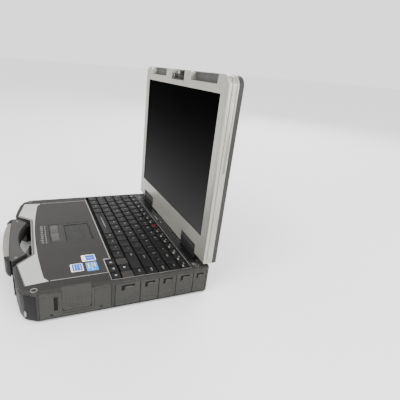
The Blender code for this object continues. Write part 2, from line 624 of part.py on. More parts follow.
back = plate("lid_back_shell", LID, (LID_SEAM + GAP, LID_BACK), "Y", bevel=2.6, segments=2,
             pick=lambda a, b: a.y > 272 and b.y > 272 and max(a.z, b.z) > 60)
HIDE = mirrored([(20.0, 150.3), (38.0, 149.4), (52.0, 144.3), (62.0, 154.3), (57.5, 179.0),
                 (62.0, 203.3), (52.0, 214.3), (38.0, 208.6), (20.0, 207.3)])
cut(back, *notches("back"),
    cbox("back_cavity", (-147.5, 147.5), (260, 269.6), (71.0, 306.0)),
    plate("cut_badge_seat", [(x * 1.006, 178.5 + (z - 178.5) * 1.01) for x, z in HIDE],
          (271.2, 280.0), "Y", CUTTERS),
    plate("cut_back_recess", mirrored([(17.0, 231.7), (28.0, 236.5), (86.0, 292.5)]),
          (271.6, 280.0), "Y", CUTTERS))
finish(back, M_LIDBACK, "lid_axis")
badge = plate("lid_badge", HIDE, (271.5, 272.8), "Y")
finish(badge, M_BADGE, "lid_axis")

# closing latch: a sprung lever with a hook, in the middle of the lid's top edge
latch = plate("lid_latch", [(250.6, 302.0), (252.4, 298.4), (257.6, 297.4), (258.6, 300.6),
                            (258.2, 309.6), (255.6, 311.2), (251.2, 311.2), (250.6, 309.4)],
              (-25.0, 22.0), "X")
finish(latch, M_LATCH, "latch_axis")
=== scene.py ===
import math
import bpy
import bmesh
from mathutils import Matrix, Vector


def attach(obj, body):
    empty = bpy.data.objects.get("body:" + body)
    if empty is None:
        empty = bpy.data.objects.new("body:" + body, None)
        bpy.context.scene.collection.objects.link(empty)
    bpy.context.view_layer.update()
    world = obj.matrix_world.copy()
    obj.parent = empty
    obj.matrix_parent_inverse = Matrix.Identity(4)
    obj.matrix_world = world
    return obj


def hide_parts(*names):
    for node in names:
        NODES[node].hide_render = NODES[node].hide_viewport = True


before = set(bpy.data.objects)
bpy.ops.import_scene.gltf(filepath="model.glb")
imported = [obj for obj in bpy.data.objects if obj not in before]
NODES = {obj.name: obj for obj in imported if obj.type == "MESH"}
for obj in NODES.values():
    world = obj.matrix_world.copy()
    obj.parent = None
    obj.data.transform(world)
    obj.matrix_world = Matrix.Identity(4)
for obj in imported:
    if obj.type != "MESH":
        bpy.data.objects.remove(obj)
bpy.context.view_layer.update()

# Chassis millimetres: x to the right, y from the front edge of the base backwards, z up.
MM = 0.001
Y_MID = 124.4


# ------------------------------------------------------------------ materials
class Nodes:
    """A small helper round a material's node tree."""

    def __init__(self, name):
        self.mat = bpy.data.materials.new(name)
        self.mat.use_nodes = True
        self.t = self.mat.node_tree
        self.bsdf = self.t.nodes["Principled BSDF"]
        tc = self.t.nodes.new("ShaderNodeTexCoord")
        self.obj = tc.outputs["Object"]

    def new(self, kind, **inputs):
        n = self.t.nodes.new(kind)
        for k, v in inputs.items():
            key = k.replace("_", " ")
            if hasattr(v, "is_output"):
                self.t.links.new(v, n.inputs[key])
            else:
                n.inputs[key].default_value = v
        return n

    def link(self, a, b):
        self.t.links.new(a, b)

    def noise(self, scale, detail=3.0, rough=0.55, stretch=None, distortion=0.0):
        vec = self.obj
        if stretch:
            m = self.new("ShaderNodeMapping", Vector=self.obj)
            m.inputs["Scale"].default_value = stretch
            vec = m.outputs["Vector"]
        n = self.new("ShaderNodeTexNoise", Vector=vec, Scale=scale, Detail=detail)
        n.inputs["Roughness"].default_value = rough
        n.inputs["Distortion"].default_value = distortion
        return n.outputs["Fac"]

    def ramp(self, fac, lo, hi, a=0.0, b=1.0):
        n = self.new("ShaderNodeMapRange", Value=fac)
        n.inputs["From Min"].default_value = lo
        n.inputs["From Max"].default_value = hi
        n.inputs["To Min"].default_value = a
        n.inputs["To Max"].default_value = b
        return n.outputs["Result"]

    def mul(self, a, b, op='MULTIPLY'):
        n = self.t.nodes.new("ShaderNodeMath")
        n.operation = op
        for i, v in enumerate((a, b)):
            if hasattr(v, "is_output"):
                self.t.links.new(v, n.inputs[i])
            else:
                n.inputs[i].default_value = v
        return n.outputs[0]

    def mix(self, fac, a, b):
        n = self.t.nodes.new("ShaderNodeMix")
        n.data_type = 'RGBA'
        for sock, v in ((n.inputs[0], fac), (n.inputs[6], a), (n.inputs[7], b)):
            if hasattr(v, "is_output"):
                self.t.links.new(v, sock)
            elif isinstance(v, (tuple, list)):
                sock.default_value = (*v[:3], 1.0)
            else:
                sock.default_value = v
        return n.outputs[2]


GAIN = 0.6         # all paints together, set against the strength of the lamps


def paint(name, dark, light, rough=0.5, metallic=0.0, grain=1400.0, bump=0.25, depth=0.00012,
          mottle=18.0, edge=None, edge_amount=0.5, radius=0.0005, coat=0.0, spec=0.14,
          rough_var=0.08, stretch=None, scuff=0.0):
    """Painted metal or moulded plastic: fine grain, soft mottling, and rounded edges lightened in patches,
    partly wear and partly painted highlight.
    """
    n = Nodes(name)
    dark, light = (tuple(c * GAIN for c in k) for k in (dark, light))
    edge = tuple(c * GAIN for c in edge) if edge else None
    colour = n.mix(n.ramp(n.noise(mottle, 5.0, 0.6), 0.3, 0.7), dark, light)
    fine = n.noise(grain, 2.0, 0.5, stretch)
    colour = n.mix(n.ramp(fine, 0.45, 0.75, 0.0, 0.35), colour, tuple(min(1, c * 1.35) for c in light))
    geo = n.t.nodes.new("ShaderNodeNewGeometry")
    bev = n.t.nodes.new("ShaderNodeBevel")
    bev.samples = 4
    bev.inputs["Radius"].default_value = radius
    # lighter edges: part worn paint, part painted highlight on the rounded edges
    if edge:
        wide = n.t.nodes.new("ShaderNodeBevel")
        wide.samples = 4
        wide.inputs["Radius"].default_value = radius * 1.6
        dot = n.t.nodes.new("ShaderNodeVectorMath")
        dot.operation = 'DOT_PRODUCT'
        n.link(wide.outputs[0], dot.inputs[0])
        n.link(geo.outputs["Normal"], dot.inputs[1])
        edge_wear_and_highlight_mask = n.mul(n.ramp(dot.outputs["Value"], 0.995, 0.86),
                     n.ramp(n.noise(140.0, 4.0, 0.65), 0.42, 0.66, 0.15, 1.0))
        colour = n.mix(n.mul(edge_wear_and_highlight_mask, edge_amount), colour, edge)
    if scuff:
        lines = n.noise(60.0, 6.0, 0.75, (0.25, 7.0, 7.0), 0.6)
        colour = n.mix(n.ramp(lines, 0.68, 0.74, 0.0, scuff), colour,
                       tuple(min(1, c * 2.2 + 0.05) for c in light))
    n.link(colour, n.bsdf.inputs["Base Color"])
    n.link(n.ramp(n.noise(90.0, 4.0, 0.6), 0.3, 0.7, rough - rough_var, rough + rough_var),
           n.bsdf.inputs["Roughness"])
    n.bsdf.inputs["Metallic"].default_value = metallic
    n.bsdf.inputs["Specular IOR Level"].default_value = spec
    if coat:
        n.bsdf.inputs["Coat Weight"].default_value = coat
        n.bsdf.inputs["Coat Roughness"].default_value = 0.15
    b = n.new("ShaderNodeBump", Strength=bump, Distance=depth, Height=fine)
    n.link(bev.outputs[0], b.inputs["Normal"])
    n.link(b.outputs["Normal"], n.bsdf.inputs["Normal"])
    return n.mat


M = {}
M["case"] = paint("case_paint", (0.037, 0.0368, 0.0345), (0.050, 0.049, 0.046), 0.5, 0.15, 1500, 0.5,
                  edge=(0.16, 0.155, 0.14), edge_amount=0.45, scuff=0.10)
M["deck"] = paint("deck_paint", (0.036, 0.0345, 0.033), (0.046, 0.0435, 0.041), 0.48, 0.15, 1700, 0.4, rough_var=0.03, spec=0.08,
                  edge=(0.30, 0.29, 0.26), edge_amount=0.6)
M["trim"] = paint("trim_silver_paint", (0.60, 0.612, 0.575), (0.67, 0.682, 0.64), 0.42, 0.3, 2200,
                  0.25, spec=0.4, edge=(0.8, 0.8, 0.78), edge_amount=0.4)
M["palm"] = paint("palm_paint", (0.053, 0.050, 0.0475), (0.060, 0.0565, 0.0535), 0.5, 0.15, 1900, 0.35, rough_var=0.02, spec=0.05,
                  edge=(0.28, 0.27, 0.25), edge_amount=0.5)
M["line"] = paint("trim_line_silver", (0.42, 0.42, 0.40), (0.55, 0.55, 0.52), 0.35, 0.5, 2200, 0.1)
M["bezel"] = paint("bezel_silver_paint", (0.42, 0.412, 0.368), (0.50, 0.49, 0.44), 0.36, 0.45, 2000,
                   0.3, spec=0.4, edge=(0.85, 0.85, 0.82), edge_amount=0.55)
M["recess"] = paint("recess_grey_paint", (0.085, 0.085, 0.083), (0.12, 0.12, 0.117), 0.5, 0.1, 1800,
                    0.3)
M["lid"] = paint("lid_paint", (0.052, 0.0505, 0.047), (0.064, 0.062, 0.058), 0.5, 0.2, 1300, 0.6,
                 edge=(0.2, 0.195, 0.18), edge_amount=0.5, scuff=0.06)
M["lid_rough"] = paint("lid_textured_paint", (0.058, 0.0565, 0.053), (0.070, 0.068, 0.0635), 0.55, 0.2,
                       520, 1.0, 0.0003, edge=(0.22, 0.21, 0.2), edge_amount=0.5)
M["badge"] = paint("badge_plastic", (0.022, 0.022, 0.021), (0.032, 0.031, 0.030), 0.38, 0.0, 2500,
                   0.2, edge=(0.2, 0.2, 0.19), edge_amount=0.5)
# the lighter rims of the caps are partly worn edges and partly painted highlight on their chamfers
M["key"] = paint("key_plastic", (0.011, 0.011, 0.011), (0.016, 0.0155, 0.0155), 0.42, 0.0, 3000, 0.3,
                 0.00005, edge=(0.12, 0.12, 0.115), edge_amount=0.4, radius=0.0002, spec=0.09, rough_var=0.03)
M["tray"] = paint("tray_plastic", (0.007, 0.007, 0.007), (0.012, 0.012, 0.012), 0.6, 0.0, 2500, 0.3)
M["pad"] = paint("pad_film", (0.026, 0.025, 0.024), (0.031, 0.030, 0.029), 0.42, 0.0, 3500, 0.15,
                 edge=(0.12, 0.12, 0.12), edge_amount=0.5)
M["pad_button"] = paint("pad_button_plastic", (0.07, 0.069, 0.067), (0.095, 0.093, 0.09), 0.4, 0.0,
                        2600, 0.2, edge=(0.3, 0.3, 0.29), edge_amount=0.6, radius=0.0003)
M["gloss"] = paint("bar_gloss_plastic", (0.006, 0.006, 0.007), (0.010, 0.010, 0.011), 0.24, 0.0,
                   900, 0.05, edge=(0.1, 0.1, 0.1), edge_amount=0.3, spec=0.3)
M["plastic"] = paint("hinge_plastic", (0.018, 0.018, 0.018), (0.028, 0.028, 0.027), 0.46, 0.0, 2000,
                     0.35, edge=(0.13, 0.13, 0.125), edge_amount=0.5)
M["cover"] = paint("cover_plastic", (0.044, 0.0438, 0.0405), (0.060, 0.059, 0.055), 0.5, 0.0, 1500,
                   0.5, edge=(0.19, 0.185, 0.17), edge_amount=0.6, scuff=0.12)
M["steel"] = paint("turned_steel", (0.42, 0.42, 0.42), (0.55, 0.55, 0.54), 0.28, 1.0, 1800, 0.15,
                   stretch=(1, 12, 12), rough_var=0.06)
M["screw"] = paint("screw_zinc", (0.30, 0.29, 0.27), (0.52, 0.51, 0.48), 0.3, 0.9, 2500, 0.2)
M["rubber"] = paint("rubber", (0.012, 0.012, 0.012), (0.02, 0.02, 0.02), 0.8, 0.0, 1600, 0.5)
M["board"] = paint("board_mask", (0.01, 0.07, 0.03), (0.02, 0.11, 0.05), 0.4, 0.0, 700, 0.4)
M["alu"] = paint("machined_aluminium", (0.5, 0.5, 0.5), (0.62, 0.62, 0.62), 0.32, 1.0, 1500, 0.2,
                 stretch=(14, 1, 1))
M["cell"] = paint("battery_plastic", (0.015, 0.015, 0.015), (0.025, 0.025, 0.025), 0.5)
M["dark"] = paint("dark_recess", (0.004, 0.004, 0.004), (0.008, 0.008, 0.008), 0.6)
M["ink"] = paint("legend_ink", (0.42, 0.42, 0.41), (0.55, 0.55, 0.54), 0.5, 0.0, 2500, 0.05)
M["ink_dark"] = paint("symbol_ink", (0.05, 0.05, 0.05), (0.09, 0.09, 0.09), 0.5, 0.0, 2500, 0.05)
M["ink_red"] = paint("legend_red", (0.55, 0.03, 0.02), (0.7, 0.05, 0.03), 0.5, 0.0, 2500, 0.05)
M["label_blue"] = paint("label_blue", (0.0, 0.11, 0.75), (0.005, 0.16, 0.95), 0.3, 0.0, 700, 0.05,
                        coat=0.5)
M["label_sky"] = paint("label_sky", (0.01, 0.34, 0.95), (0.03, 0.42, 1.1), 0.3, 0.0, 700, 0.05,
                       coat=0.5)
M["label_white"] = paint("label_white", (1.15, 1.17, 1.17), (1.3, 1.32, 1.32), 0.35, 0.0, 700,
                         0.05, coat=0.4)
M["label_orange"] = paint("label_orange", (1.2, 0.75, 0.03), (1.3, 0.85, 0.05), 0.35, 0.0, 700, 0.05)
M["grip"] = paint("grip_plastic", (0.052, 0.050, 0.047), (0.075, 0.071, 0.067), 0.5, 0.0, 700, 0.9,
                  0.00025, edge=(0.12, 0.12, 0.12), edge_amount=0.5)
M["band"] = paint("band_paint", (0.24, 0.225, 0.20), (0.33, 0.31, 0.28), 0.4, 0.3, 1800, 0.3,
                  edge=(0.4, 0.38, 0.34), edge_amount=0.6)
M["gold"] = paint("contact_gold", (0.6, 0.42, 0.14), (0.75, 0.55, 0.22), 0.3, 1.0, 2000, 0.1)

M["rim"] = paint("rim_paint", (0.10, 0.096, 0.088), (0.14, 0.134, 0.123), 0.42, 0.3, 1800, 0.3,
                edge=(0.4, 0.38, 0.34), edge_amount=0.5)
M["sign"] = paint("sign_ink", (0.40, 0.40, 0.39), (0.50, 0.50, 0.485), 0.5, 0.0, 2500, 0.05)
M["rust"] = paint("sunken_screw", (0.035, 0.024, 0.018), (0.07, 0.05, 0.04), 0.4, 0.8, 2500, 0.2)
M["dark_steel"] = paint("dark_screw", (0.02, 0.02, 0.02), (0.045, 0.045, 0.044), 0.35, 0.7, 2500, 0.2)
M["guard"] = paint("corner_guard_rubber", (0.010, 0.010, 0.010), (0.017, 0.017, 0.0165), 0.5, 0.0,
                   1500, 0.5, edge=(0.08, 0.08, 0.08), edge_amount=0.5)
M["surround"] = paint("pad_surround_plastic", (0.045, 0.0425, 0.0405), (0.054, 0.051, 0.0485), 0.48,
                      0.1, 1900, 0.3, edge=(0.18, 0.175, 0.17), edge_amount=0.5)
M["lid_smooth"] = paint("lid_smooth_paint", (0.074, 0.073, 0.070), (0.094, 0.092, 0.088), 0.42,
                        0.25, 1500, 0.25, edge=(0.24, 0.235, 0.22), edge_amount=0.5)
M["badge_edge"] = paint("badge_rib_plastic", (0.060, 0.059, 0.057), (0.085, 0.083, 0.081), 0.35,
                        0.0, 2500, 0.2, edge=(0.22, 0.22, 0.21), edge_amount=0.6)


def screen_material():
    """Matt anti-glare screen: nearly black, with a very fine sparkle in its coating, and a painted reflection
    that turns it grey towards its lower edge.
    """
    n = Nodes("screen_coating")
    fine = n.noise(5200.0, 2.0, 0.6)
    soft = n.noise(9.0, 3.0, 0.6)
    sep = n.new("ShaderNodeSeparateXYZ", Vector=n.obj)
    # painted reflection: the glass is painted from black at the top to grey at the bottom
    painted_reflection_fade = n.mul(n.ramp(sep.outputs["Z"], 0.285, 0.088), 2.1, 'POWER')
    colour = n.mix(painted_reflection_fade, (0.0006, 0.0006, 0.0006), (0.040, 0.040, 0.040))
    colour = n.mix(n.ramp(soft, 0.3, 0.7, 0.0, 0.12), colour, (0.004, 0.004, 0.004))
    colour = n.mix(n.ramp(fine, 0.5, 0.8, 0.0, 0.06), colour, (0.02, 0.02, 0.021))
    n.link(colour, n.bsdf.inputs["Base Color"])
    n.link(n.ramp(n.noise(30.0, 4.0, 0.6), 0.3, 0.7, 0.42, 0.5), n.bsdf.inputs["Roughness"])
    n.bsdf.inputs["Specular IOR Level"].default_value = 0.001
    b = n.new("ShaderNodeBump", Strength=0.12, Distance=0.00003, Height=fine)
    n.link(b.outputs["Normal"], n.bsdf.inputs["Normal"])
    return n.mat


M["screen"] = screen_material()


# ------------------------------------------------------------------ mesh helpers
def chassis(v):
    """World metres to chassis millimetres, before the final shift in y."""
    return v / MM


class Shape:
    """Collects solids of one piece, in chassis millimetres."""

    def __init__(self):
        self.bm = bmesh.new()

    def _bevel(self, verts, width, segments, pick):
        vs = set(verts)
        edges = []
        for e in {e for v in vs for e in v.link_edges}:
            if len(e.link_faces) != 2 or e.calc_face_angle(0.0) < math.radians(18):
                continue
            if pick is None or pick(e.verts[0].co, e.verts[1].co):
                edges.append(e)
        if edges:
            bmesh.ops.bevel(self.bm, geom=edges, offset=width, segments=segments, profile=0.5,
                            affect='EDGES', clamp_overlap=True)

    def box(self, x, y, z, bevel=0.0, segments=2, pick=None, turn=None):
        made = bmesh.ops.create_cube(self.bm, size=1.0)["verts"]
        bmesh.ops.scale(self.bm, vec=(x[1] - x[0], y[1] - y[0], z[1] - z[0]), verts=made)
        if turn:
            bmesh.ops.rotate(self.bm, matrix=Matrix.Rotation(math.radians(turn[1]), 3, turn[0]),
                             verts=made)
        bmesh.ops.translate(self.bm, vec=((x[0] + x[1]) / 2, (y[0] + y[1]) / 2, (z[0] + z[1]) / 2),
                            verts=made)
        if bevel:
            self._bevel(made, bevel, segments, pick)
        return self

    def prism(self, pts, span, axis="Z", bevel=0.0, segments=2, pick=None):
        lo, hi = span
        put = {"Z": lambda a, b, h: (a, b, h), "Y": lambda a, b, h: (a, h, b),
               "X": lambda a, b, h: (h, a, b)}[axis]
        low = [self.bm.verts.new(put(a, b, lo)) for a, b in pts]
        top = [self.bm.verts.new(put(a, b, hi)) for a, b in pts]
        faces = [self.bm.faces.new(low), self.bm.faces.new(list(reversed(top)))]
        n = len(pts)
        for i in range(n):
            j = (i + 1) % n
            faces.append(self.bm.faces.new((low[j], low[i], top[i], top[j])))
        bmesh.ops.recalc_face_normals(self.bm, faces=faces)
        if bevel:
            self._bevel(low + top, bevel, segments, pick)
        return self

    def ring(self, pts, width, span, axis="Z"):
        """A closed band of a given width along an anticlockwise outline."""
        lo, hi = span
        put = {"Z": lambda a, b, h: (a, b, h), "Y": lambda a, b, h: (a, h, b),
               "X": lambda a, b, h: (h, a, b)}[axis]
        loops = []
        for d in (-width / 2, width / 2):
            out = inset(pts, d)
            loops.append([self.bm.verts.new(put(a, b, lo)) for a, b in out])
            loops.append([self.bm.verts.new(put(a, b, hi)) for a, b in out])
        ol, oh, il, ih = loops
        faces = []
        n = len(ol)
        for i in range(n):
            j = (i + 1) % n
            for p, q in ((ol, oh), (oh, ih), (ih, il), (il, ol)):
                faces.append(self.bm.faces.new((p[i], p[j], q[j], q[i])))
        bmesh.ops.recalc_face_normals(self.bm, faces=faces)
        return self

    def rod(self, c, r, length, axis="Z", segments=24, bevel=0.0, r2=None):
        made = bmesh.ops.create_cone(self.bm, cap_ends=True, segments=segments, radius1=r,
                                     radius2=r if r2 is None else r2, depth=length)["verts"]
        turn = {"Z": None, "X": ('Y', 90), "Y": ('X', -90)}[axis]
        if turn:
            bmesh.ops.rotate(self.bm, matrix=Matrix.Rotation(math.radians(turn[1]), 3, turn[0]),
                             verts=made)
        bmesh.ops.translate(self.bm, vec=c, verts=made)
        if bevel:
            self._bevel(made, bevel, 2, None)
        return self

    def lathe(self, profile, c, axis="Z", segments=28):
        """A closed (radius, height) profile turned round an axis through c."""
        rings = []
        for r, h in profile:
            rings.append([Vector((r * math.cos(2 * math.pi * k / segments),
                                  r * math.sin(2 * math.pi * k / segments), h))
                          for k in range(segments)])
        turn = {"Z": Matrix.Identity(3), "X": Matrix.Rotation(math.radians(90), 3, 'Y'),
                "Y": Matrix.Rotation(math.radians(-90), 3, 'X')}[axis]
        vs = [[self.bm.verts.new(turn @ p + Vector(c)) for p in ring] for ring in rings]
        faces = []
        for i in range(len(vs)):
            j = (i + 1) % len(vs)
            for k in range(segments):
                m = (k + 1) % segments
                faces.append(self.bm.faces.new((vs[i][k], vs[i][m], vs[j][m], vs[j][k])))
        bmesh.ops.recalc_face_normals(self.bm, faces=faces)
        return self

    def screw(self, c, r, axis="Z", sign=1, height=0.5):
        """A round screw head with a round recess, its top at c + height along the axis."""
        h = height * sign
        seg = 20
        self.lathe([(r, -0.4 * sign), (r, h * 0.55), (r * 0.86, h), (r * 0.5, h),
                    (r * 0.42, h * 0.2), (0.02, h * 0.2), (0.02, -0.4 * sign)], c, axis, seg)
        return self

    def text(self, body, size, at, axis="Z", height=0.05, align='CENTER', flip=False):
        cu = bpy.data.curves.new("t", 'FONT')
        cu.body = body
        cu.size = size
        cu.align_x = align
        cu.align_y = 'CENTER'
        cu.extrude = height / 2
        cu.resolution_u = 2
        ob = bpy.data.objects.new("t", cu)
        bpy.context.scene.collection.objects.link(ob)
        bpy.context.view_layer.update()
        me = bpy.data.meshes.new_from_object(ob.evaluated_get(bpy.context.evaluated_depsgraph_get()))
        bpy.data.objects.remove(ob)
        bpy.data.curves.remove(cu)
        bm = bmesh.new()
        bm.from_mesh(me)
        bmesh.ops.remove_doubles(bm, verts=bm.verts[:], dist=0.0005)
        m = Matrix.Identity(4)
        if axis == "Y":
            m = Matrix.Rotation(math.radians(90), 4, 'X')
        if axis == "Yb":
            m = Matrix.Rotation(math.radians(180), 4, 'Z') @ Matrix.Rotation(math.radians(90), 4, 'X')
        if axis == "X":
            m = Matrix.Rotation(math.radians(90), 4, 'Z') @ Matrix.Rotation(math.radians(90), 4, 'X')
        bm.transform(Matrix.Translation(Vector(at)) @ m)
        tmp = bpy.data.meshes.new("t")
        bm.to_mesh(tmp)
        bm.free()
        self.bm.from_mesh(tmp)
        bpy.data.meshes.remove(tmp)
        bpy.data.meshes.remove(me)
        return self

    def mirror(self):
        """Adds the mirror image in x of everything so far."""
        geom = self.bm.verts[:] + self.bm.edges[:] + self.bm.faces[:]
        dup = bmesh.ops.duplicate(self.bm, geom=geom)["geom"]
        vs = [g for g in dup if isinstance(g, bmesh.types.BMVert)]
        fs = [g for g in dup if isinstance(g, bmesh.types.BMFace)]
        for v in vs:
            v.co.x = -v.co.x
        bmesh.ops.reverse_faces(self.bm, faces=fs)
        return self

    def mesh(self, name):
        self.bm.transform(Matrix.Translation((0, -Y_MID * MM, 0)) @ Matrix.Scale(MM, 4))
        me = bpy.data.meshes.new(name)
        self.bm.to_mesh(me)
        self.bm.free()
        return me

    def object(self, name):
        ob = bpy.data.objects.new(name, self.mesh(name))
        bpy.context.scene.collection.objects.link(ob)
        return ob


def apply_modifiers(ob):
    bpy.context.view_layer.update()
    me = bpy.data.meshes.new_from_object(
        ob.evaluated_get(bpy.context.evaluated_depsgraph_get()))
    ob.modifiers.clear()
    old = ob.data
    ob.data = me
    bpy.data.meshes.remove(old)
    return ob


def cut(ob, *shapes, operation='DIFFERENCE'):
    tools = []
    for i, s in enumerate(shapes):
        t = s.object("tool_%s_%d" % (ob.name, i))
        m = ob.modifiers.new("cut", 'BOOLEAN')
        m.operation = operation
        m.solver = 'EXACT'
        m.object = t
        tools.append(t)
    apply_modifiers(ob)
    for t in tools:
        me = t.data
        bpy.data.objects.remove(t)
        bpy.data.meshes.remove(me)
    return ob


def piece(what, name, body, mat, replaces=(), angle=32.0):
    ob = what.object(name) if isinstance(what, Shape) else what
    if not ob.data.polygons:
        raise RuntimeError(name + " has no faces")
    ob.name = name
    ob.data.name = name
    ob.data.materials.clear()
    ob.data.materials.append(M[mat])
    ob.data.shade_smooth()
    ob.data.set_sharp_from_angle(angle=math.radians(angle))
    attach(ob, body)
    if replaces:
        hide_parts(*replaces)
    return ob


def dress(mat, *nodes):
    for n in nodes:
        ob = NODES[n]
        ob.data.materials.clear()
        ob.data.materials.append(M[mat])


dress("case", "base_bottom_case")
dress("deck", "base_top_case")
dress("trim", "front_trim_plate")
dress("palm", "palmrest_plate")
dress("pad", "touchpad_sensor")
dress("pad_button", "touchpad_button_left", "touchpad_button_right")
dress("tray", "keyboard_tray")
dress("gloss", "rear_deck_bar")
dress("plastic", "hinge_cover_left", "hinge_cover_right", "port_block_right")
dress("steel", "hinge_shaft_left", "hinge_shaft_right", "hinge_bracket_left",
      "hinge_bracket_right")
dress("cell", "battery_pack")
dress("alu", "hard_drive_caddy", "heat_spreader")
dress("board", "main_board")
dress("rubber", "foot_front_left", "foot_front_right", "foot_rear_left", "foot_rear_right")
dress("cover", "battery_end_cover", "battery_latch_tab", "hard_drive_cover", "card_slot_cover",
      "rear_port_cover_centre", "rear_port_cover_side", "optical_drive",
      *["port_cover_right_%d" % i for i in range(1, 6)])
dress("grip", "handle_grip")
dress("band", "handle_front_cover")
dress("lid", "lid_back_shell")
dress("badge", "lid_badge")
dress("guard", "lid_latch")
dress("bezel", "lid_front_bezel")
dress("dark", "display_panel")
dress("screen", "display_glass")
dress("pad_button", "power_button")

# ------------------------------------------------------------------ more helpers
def ribbon(pts, width):
    """Outline of a thin line of a given width along an open path."""
    left, right = [], []
    n = len(pts)
    for i in range(n):
        p = Vector(pts[i])
        e1 = (p - Vector(pts[i - 1])).normalized() if i else None
        e2 = (Vector(pts[i + 1]) - p).normalized() if i < n - 1 else None
        e1 = e1 or e2
        e2 = e2 or e1
        n1, n2 = Vector((-e1.y, e1.x)), Vector((-e2.y, e2.x))
        m = n1 + n2
        m = m / max(m.dot(n1), 0.35)
        left.append(tuple(p + m * width / 2))
        right.append(tuple(p - m * width / 2))
    return left + right[::-1]


def inset(points, d):
    """Moves each side of a closed anticlockwise outline inwards by d."""
    out = []
    n = len(points)
    for i in range(n):
        p0, p1, p2 = (Vector(points[(i + k) % n]) for k in (-1, 0, 1))
        e1, e2 = (p1 - p0).normalized(), (p2 - p1).normalized()
        n1, n2 = Vector((-e1.y, e1.x)), Vector((-e2.y, e2.x))
        m = n1 + n2
        m = m / max(m.dot(n1), 0.2)
        out.append(tuple(p1 + m * d))
    return out


def both(points):
    return list(points) + [(-a, b) for a, b in reversed(points)]


def rounded(a0, a1, b0, b1, r, n=4):
    """A rectangle with rounded corners, anticlockwise."""
    out = []
    for ca, cb, start in ((a1 - r, b0 + r, -90), (a1 - r, b1 - r, 0), (a0 + r, b1 - r, 90),
                          (a0 + r, b0 + r, 180)):
        for i in range(n + 1):
            t = math.radians(start + 90 * i / n)
            out.append((ca + r * math.cos(t), cb + r * math.sin(t)))
    return out


def smooth_corners(pts, r, n=3):
    """Rounds the corners of a closed outline."""
    out = []
    m = len(pts)
    for i in range(m):
        p0, p1, p2 = (Vector(pts[(i + k) % m]) for k in (-1, 0, 1))
        a, b = (p0 - p1), (p2 - p1)
        d = min(r, a.length * 0.45, b.length * 0.45)
        s, e = p1 + a.normalized() * d, p1 + b.normalized() * d
        for k in range(n + 1):
            t = k / n
            out.append(tuple(s * (1 - t) ** 2 + p1 * 2 * t * (1 - t) + e * t * t))
    return out


def copy_of(node, name):
    """A new object with the shape of a CAD node, its flat faces joined up again."""
    bm = bmesh.new()
    bm.from_mesh(NODES[node].data)
    bmesh.ops.remove_doubles(bm, verts=bm.verts[:], dist=2e-6)
    bmesh.ops.dissolve_limit(bm, angle_limit=math.radians(0.6), verts=bm.verts[:],
                             edges=bm.edges[:])
    me = bpy.data.meshes.new(name)
    bm.to_mesh(me)
    bm.free()
    ob = bpy.data.objects.new(name, me)
    bpy.context.scene.collection.objects.link(ob)
    return ob


def round_edges(ob, width, segments, pick, angle=25):
    """Rounds the picked edges; pick sees each end of an edge in chassis millimetres."""
    bm = bmesh.new()
    bm.from_mesh(ob.data)
    at = {v: Vector((v.co.x / MM, v.co.y / MM + Y_MID, v.co.z / MM)) for v in bm.verts}
    edges = [e for e in bm.edges if len(e.link_faces) == 2
             and e.calc_face_angle(0) > math.radians(angle)
             and pick(at[e.verts[0]], at[e.verts[1]])]
    bmesh.ops.bevel(bm, geom=edges, offset=width * MM, segments=segments, profile=0.5,
                    affect='EDGES', clamp_overlap=True)
    bm.to_mesh(ob.data)
    bm.free()
    return ob


# ------------------------------------------------------------------ keyboard
KEY_BASE, KEY_TOP, KEY_GAP = 43.3, 46.6, 1.2
ROW_Y = {"bottom": (131.2, 147.6), "lower": (148.9, 165.3), "home": (166.6, 183.0),
         "upper": (184.3, 200.7), "number": (202.0, 218.4), "function": (219.7, 232.9)}


def keycap(s, x0, x1, y0, y1):
    """One cap: sloping sides, a rounded rim and a slightly dished top."""
    steps = ((0.0, KEY_BASE, 0.5), (0.12, KEY_BASE + 0.9, 0.6), (0.75, KEY_TOP - 0.55, 1.0),
             (0.95, KEY_TOP - 0.16, 1.2), (1.35, KEY_TOP, 1.4), (2.1, KEY_TOP - 0.10, 1.5),
             (3.1, KEY_TOP - 0.30, 1.6))
    rings = []
    for d, z, r in steps:
        rings.append([s.bm.verts.new((a, b, z)) for a, b in
                      rounded(x0 + d, x1 - d, y0 + d, y1 - d, r, 3)])
    n = len(rings[0])
    faces = [s.bm.faces.new(list(reversed(rings[0]))), s.bm.faces.new(rings[-1])]
    for lo, hi in zip(rings, rings[1:]):
        for i in range(n):
            j = (i + 1) % n
            faces.append(s.bm.faces.new((lo[i], lo[j], hi[j], hi[i])))
    bmesh.ops.recalc_face_normals(s.bm, faces=faces)


def legend(s, word, x0, x1, y0, y1, size=None):
    z = KEY_TOP - 0.29
    cx, cy = (x0 + x1) / 2, (y0 + y1) / 2
    if word in ("<", ">", "^", "v"):
        a = 2.3
        turn = {">": 0, "^": 90, "<": 180, "v": 270}[word]
        pts = [(-a * 0.7, -a), (a * 0.9, 0), (-a * 0.7, a)]
        t = math.radians(turn)
        pts = [(cx + p * math.cos(t) - q * math.sin(t), cy + p * math.sin(t) + q * math.cos(t))
               for p, q in pts]
        s.prism(pts, (z - 0.06, z + 0.07))
        return
    if len(word) == 1:
        s.text(word, size or 5.6, (x0 + 6.0, cy + 1.4, z), height=0.12)
    else:
        s.text(word, size or 3.5, (x0 + 3.1, cy + 1.0, z), height=0.12, align='LEFT')


def key_piece(node, keys, web=None):
    s, ink = Shape(), Shape()
    for x0, x1, y0, y1, word in keys:
        keycap(s, x0, x1, y0, y1)
        if word:
            legend(ink, word, x0, x1, y0, y1)
    if web:
        s.box(web[0], web[1], (KEY_BASE + 0.02, KEY_BASE + 0.68))
    piece(s, node.replace("key_", "keycaps_"), node, "key", replaces=(node,), angle=50)
    if len(ink.bm.verts):
        piece(ink, node.replace("key_", "legends_"), node, "ink")
    else:
        ink.bm.free()


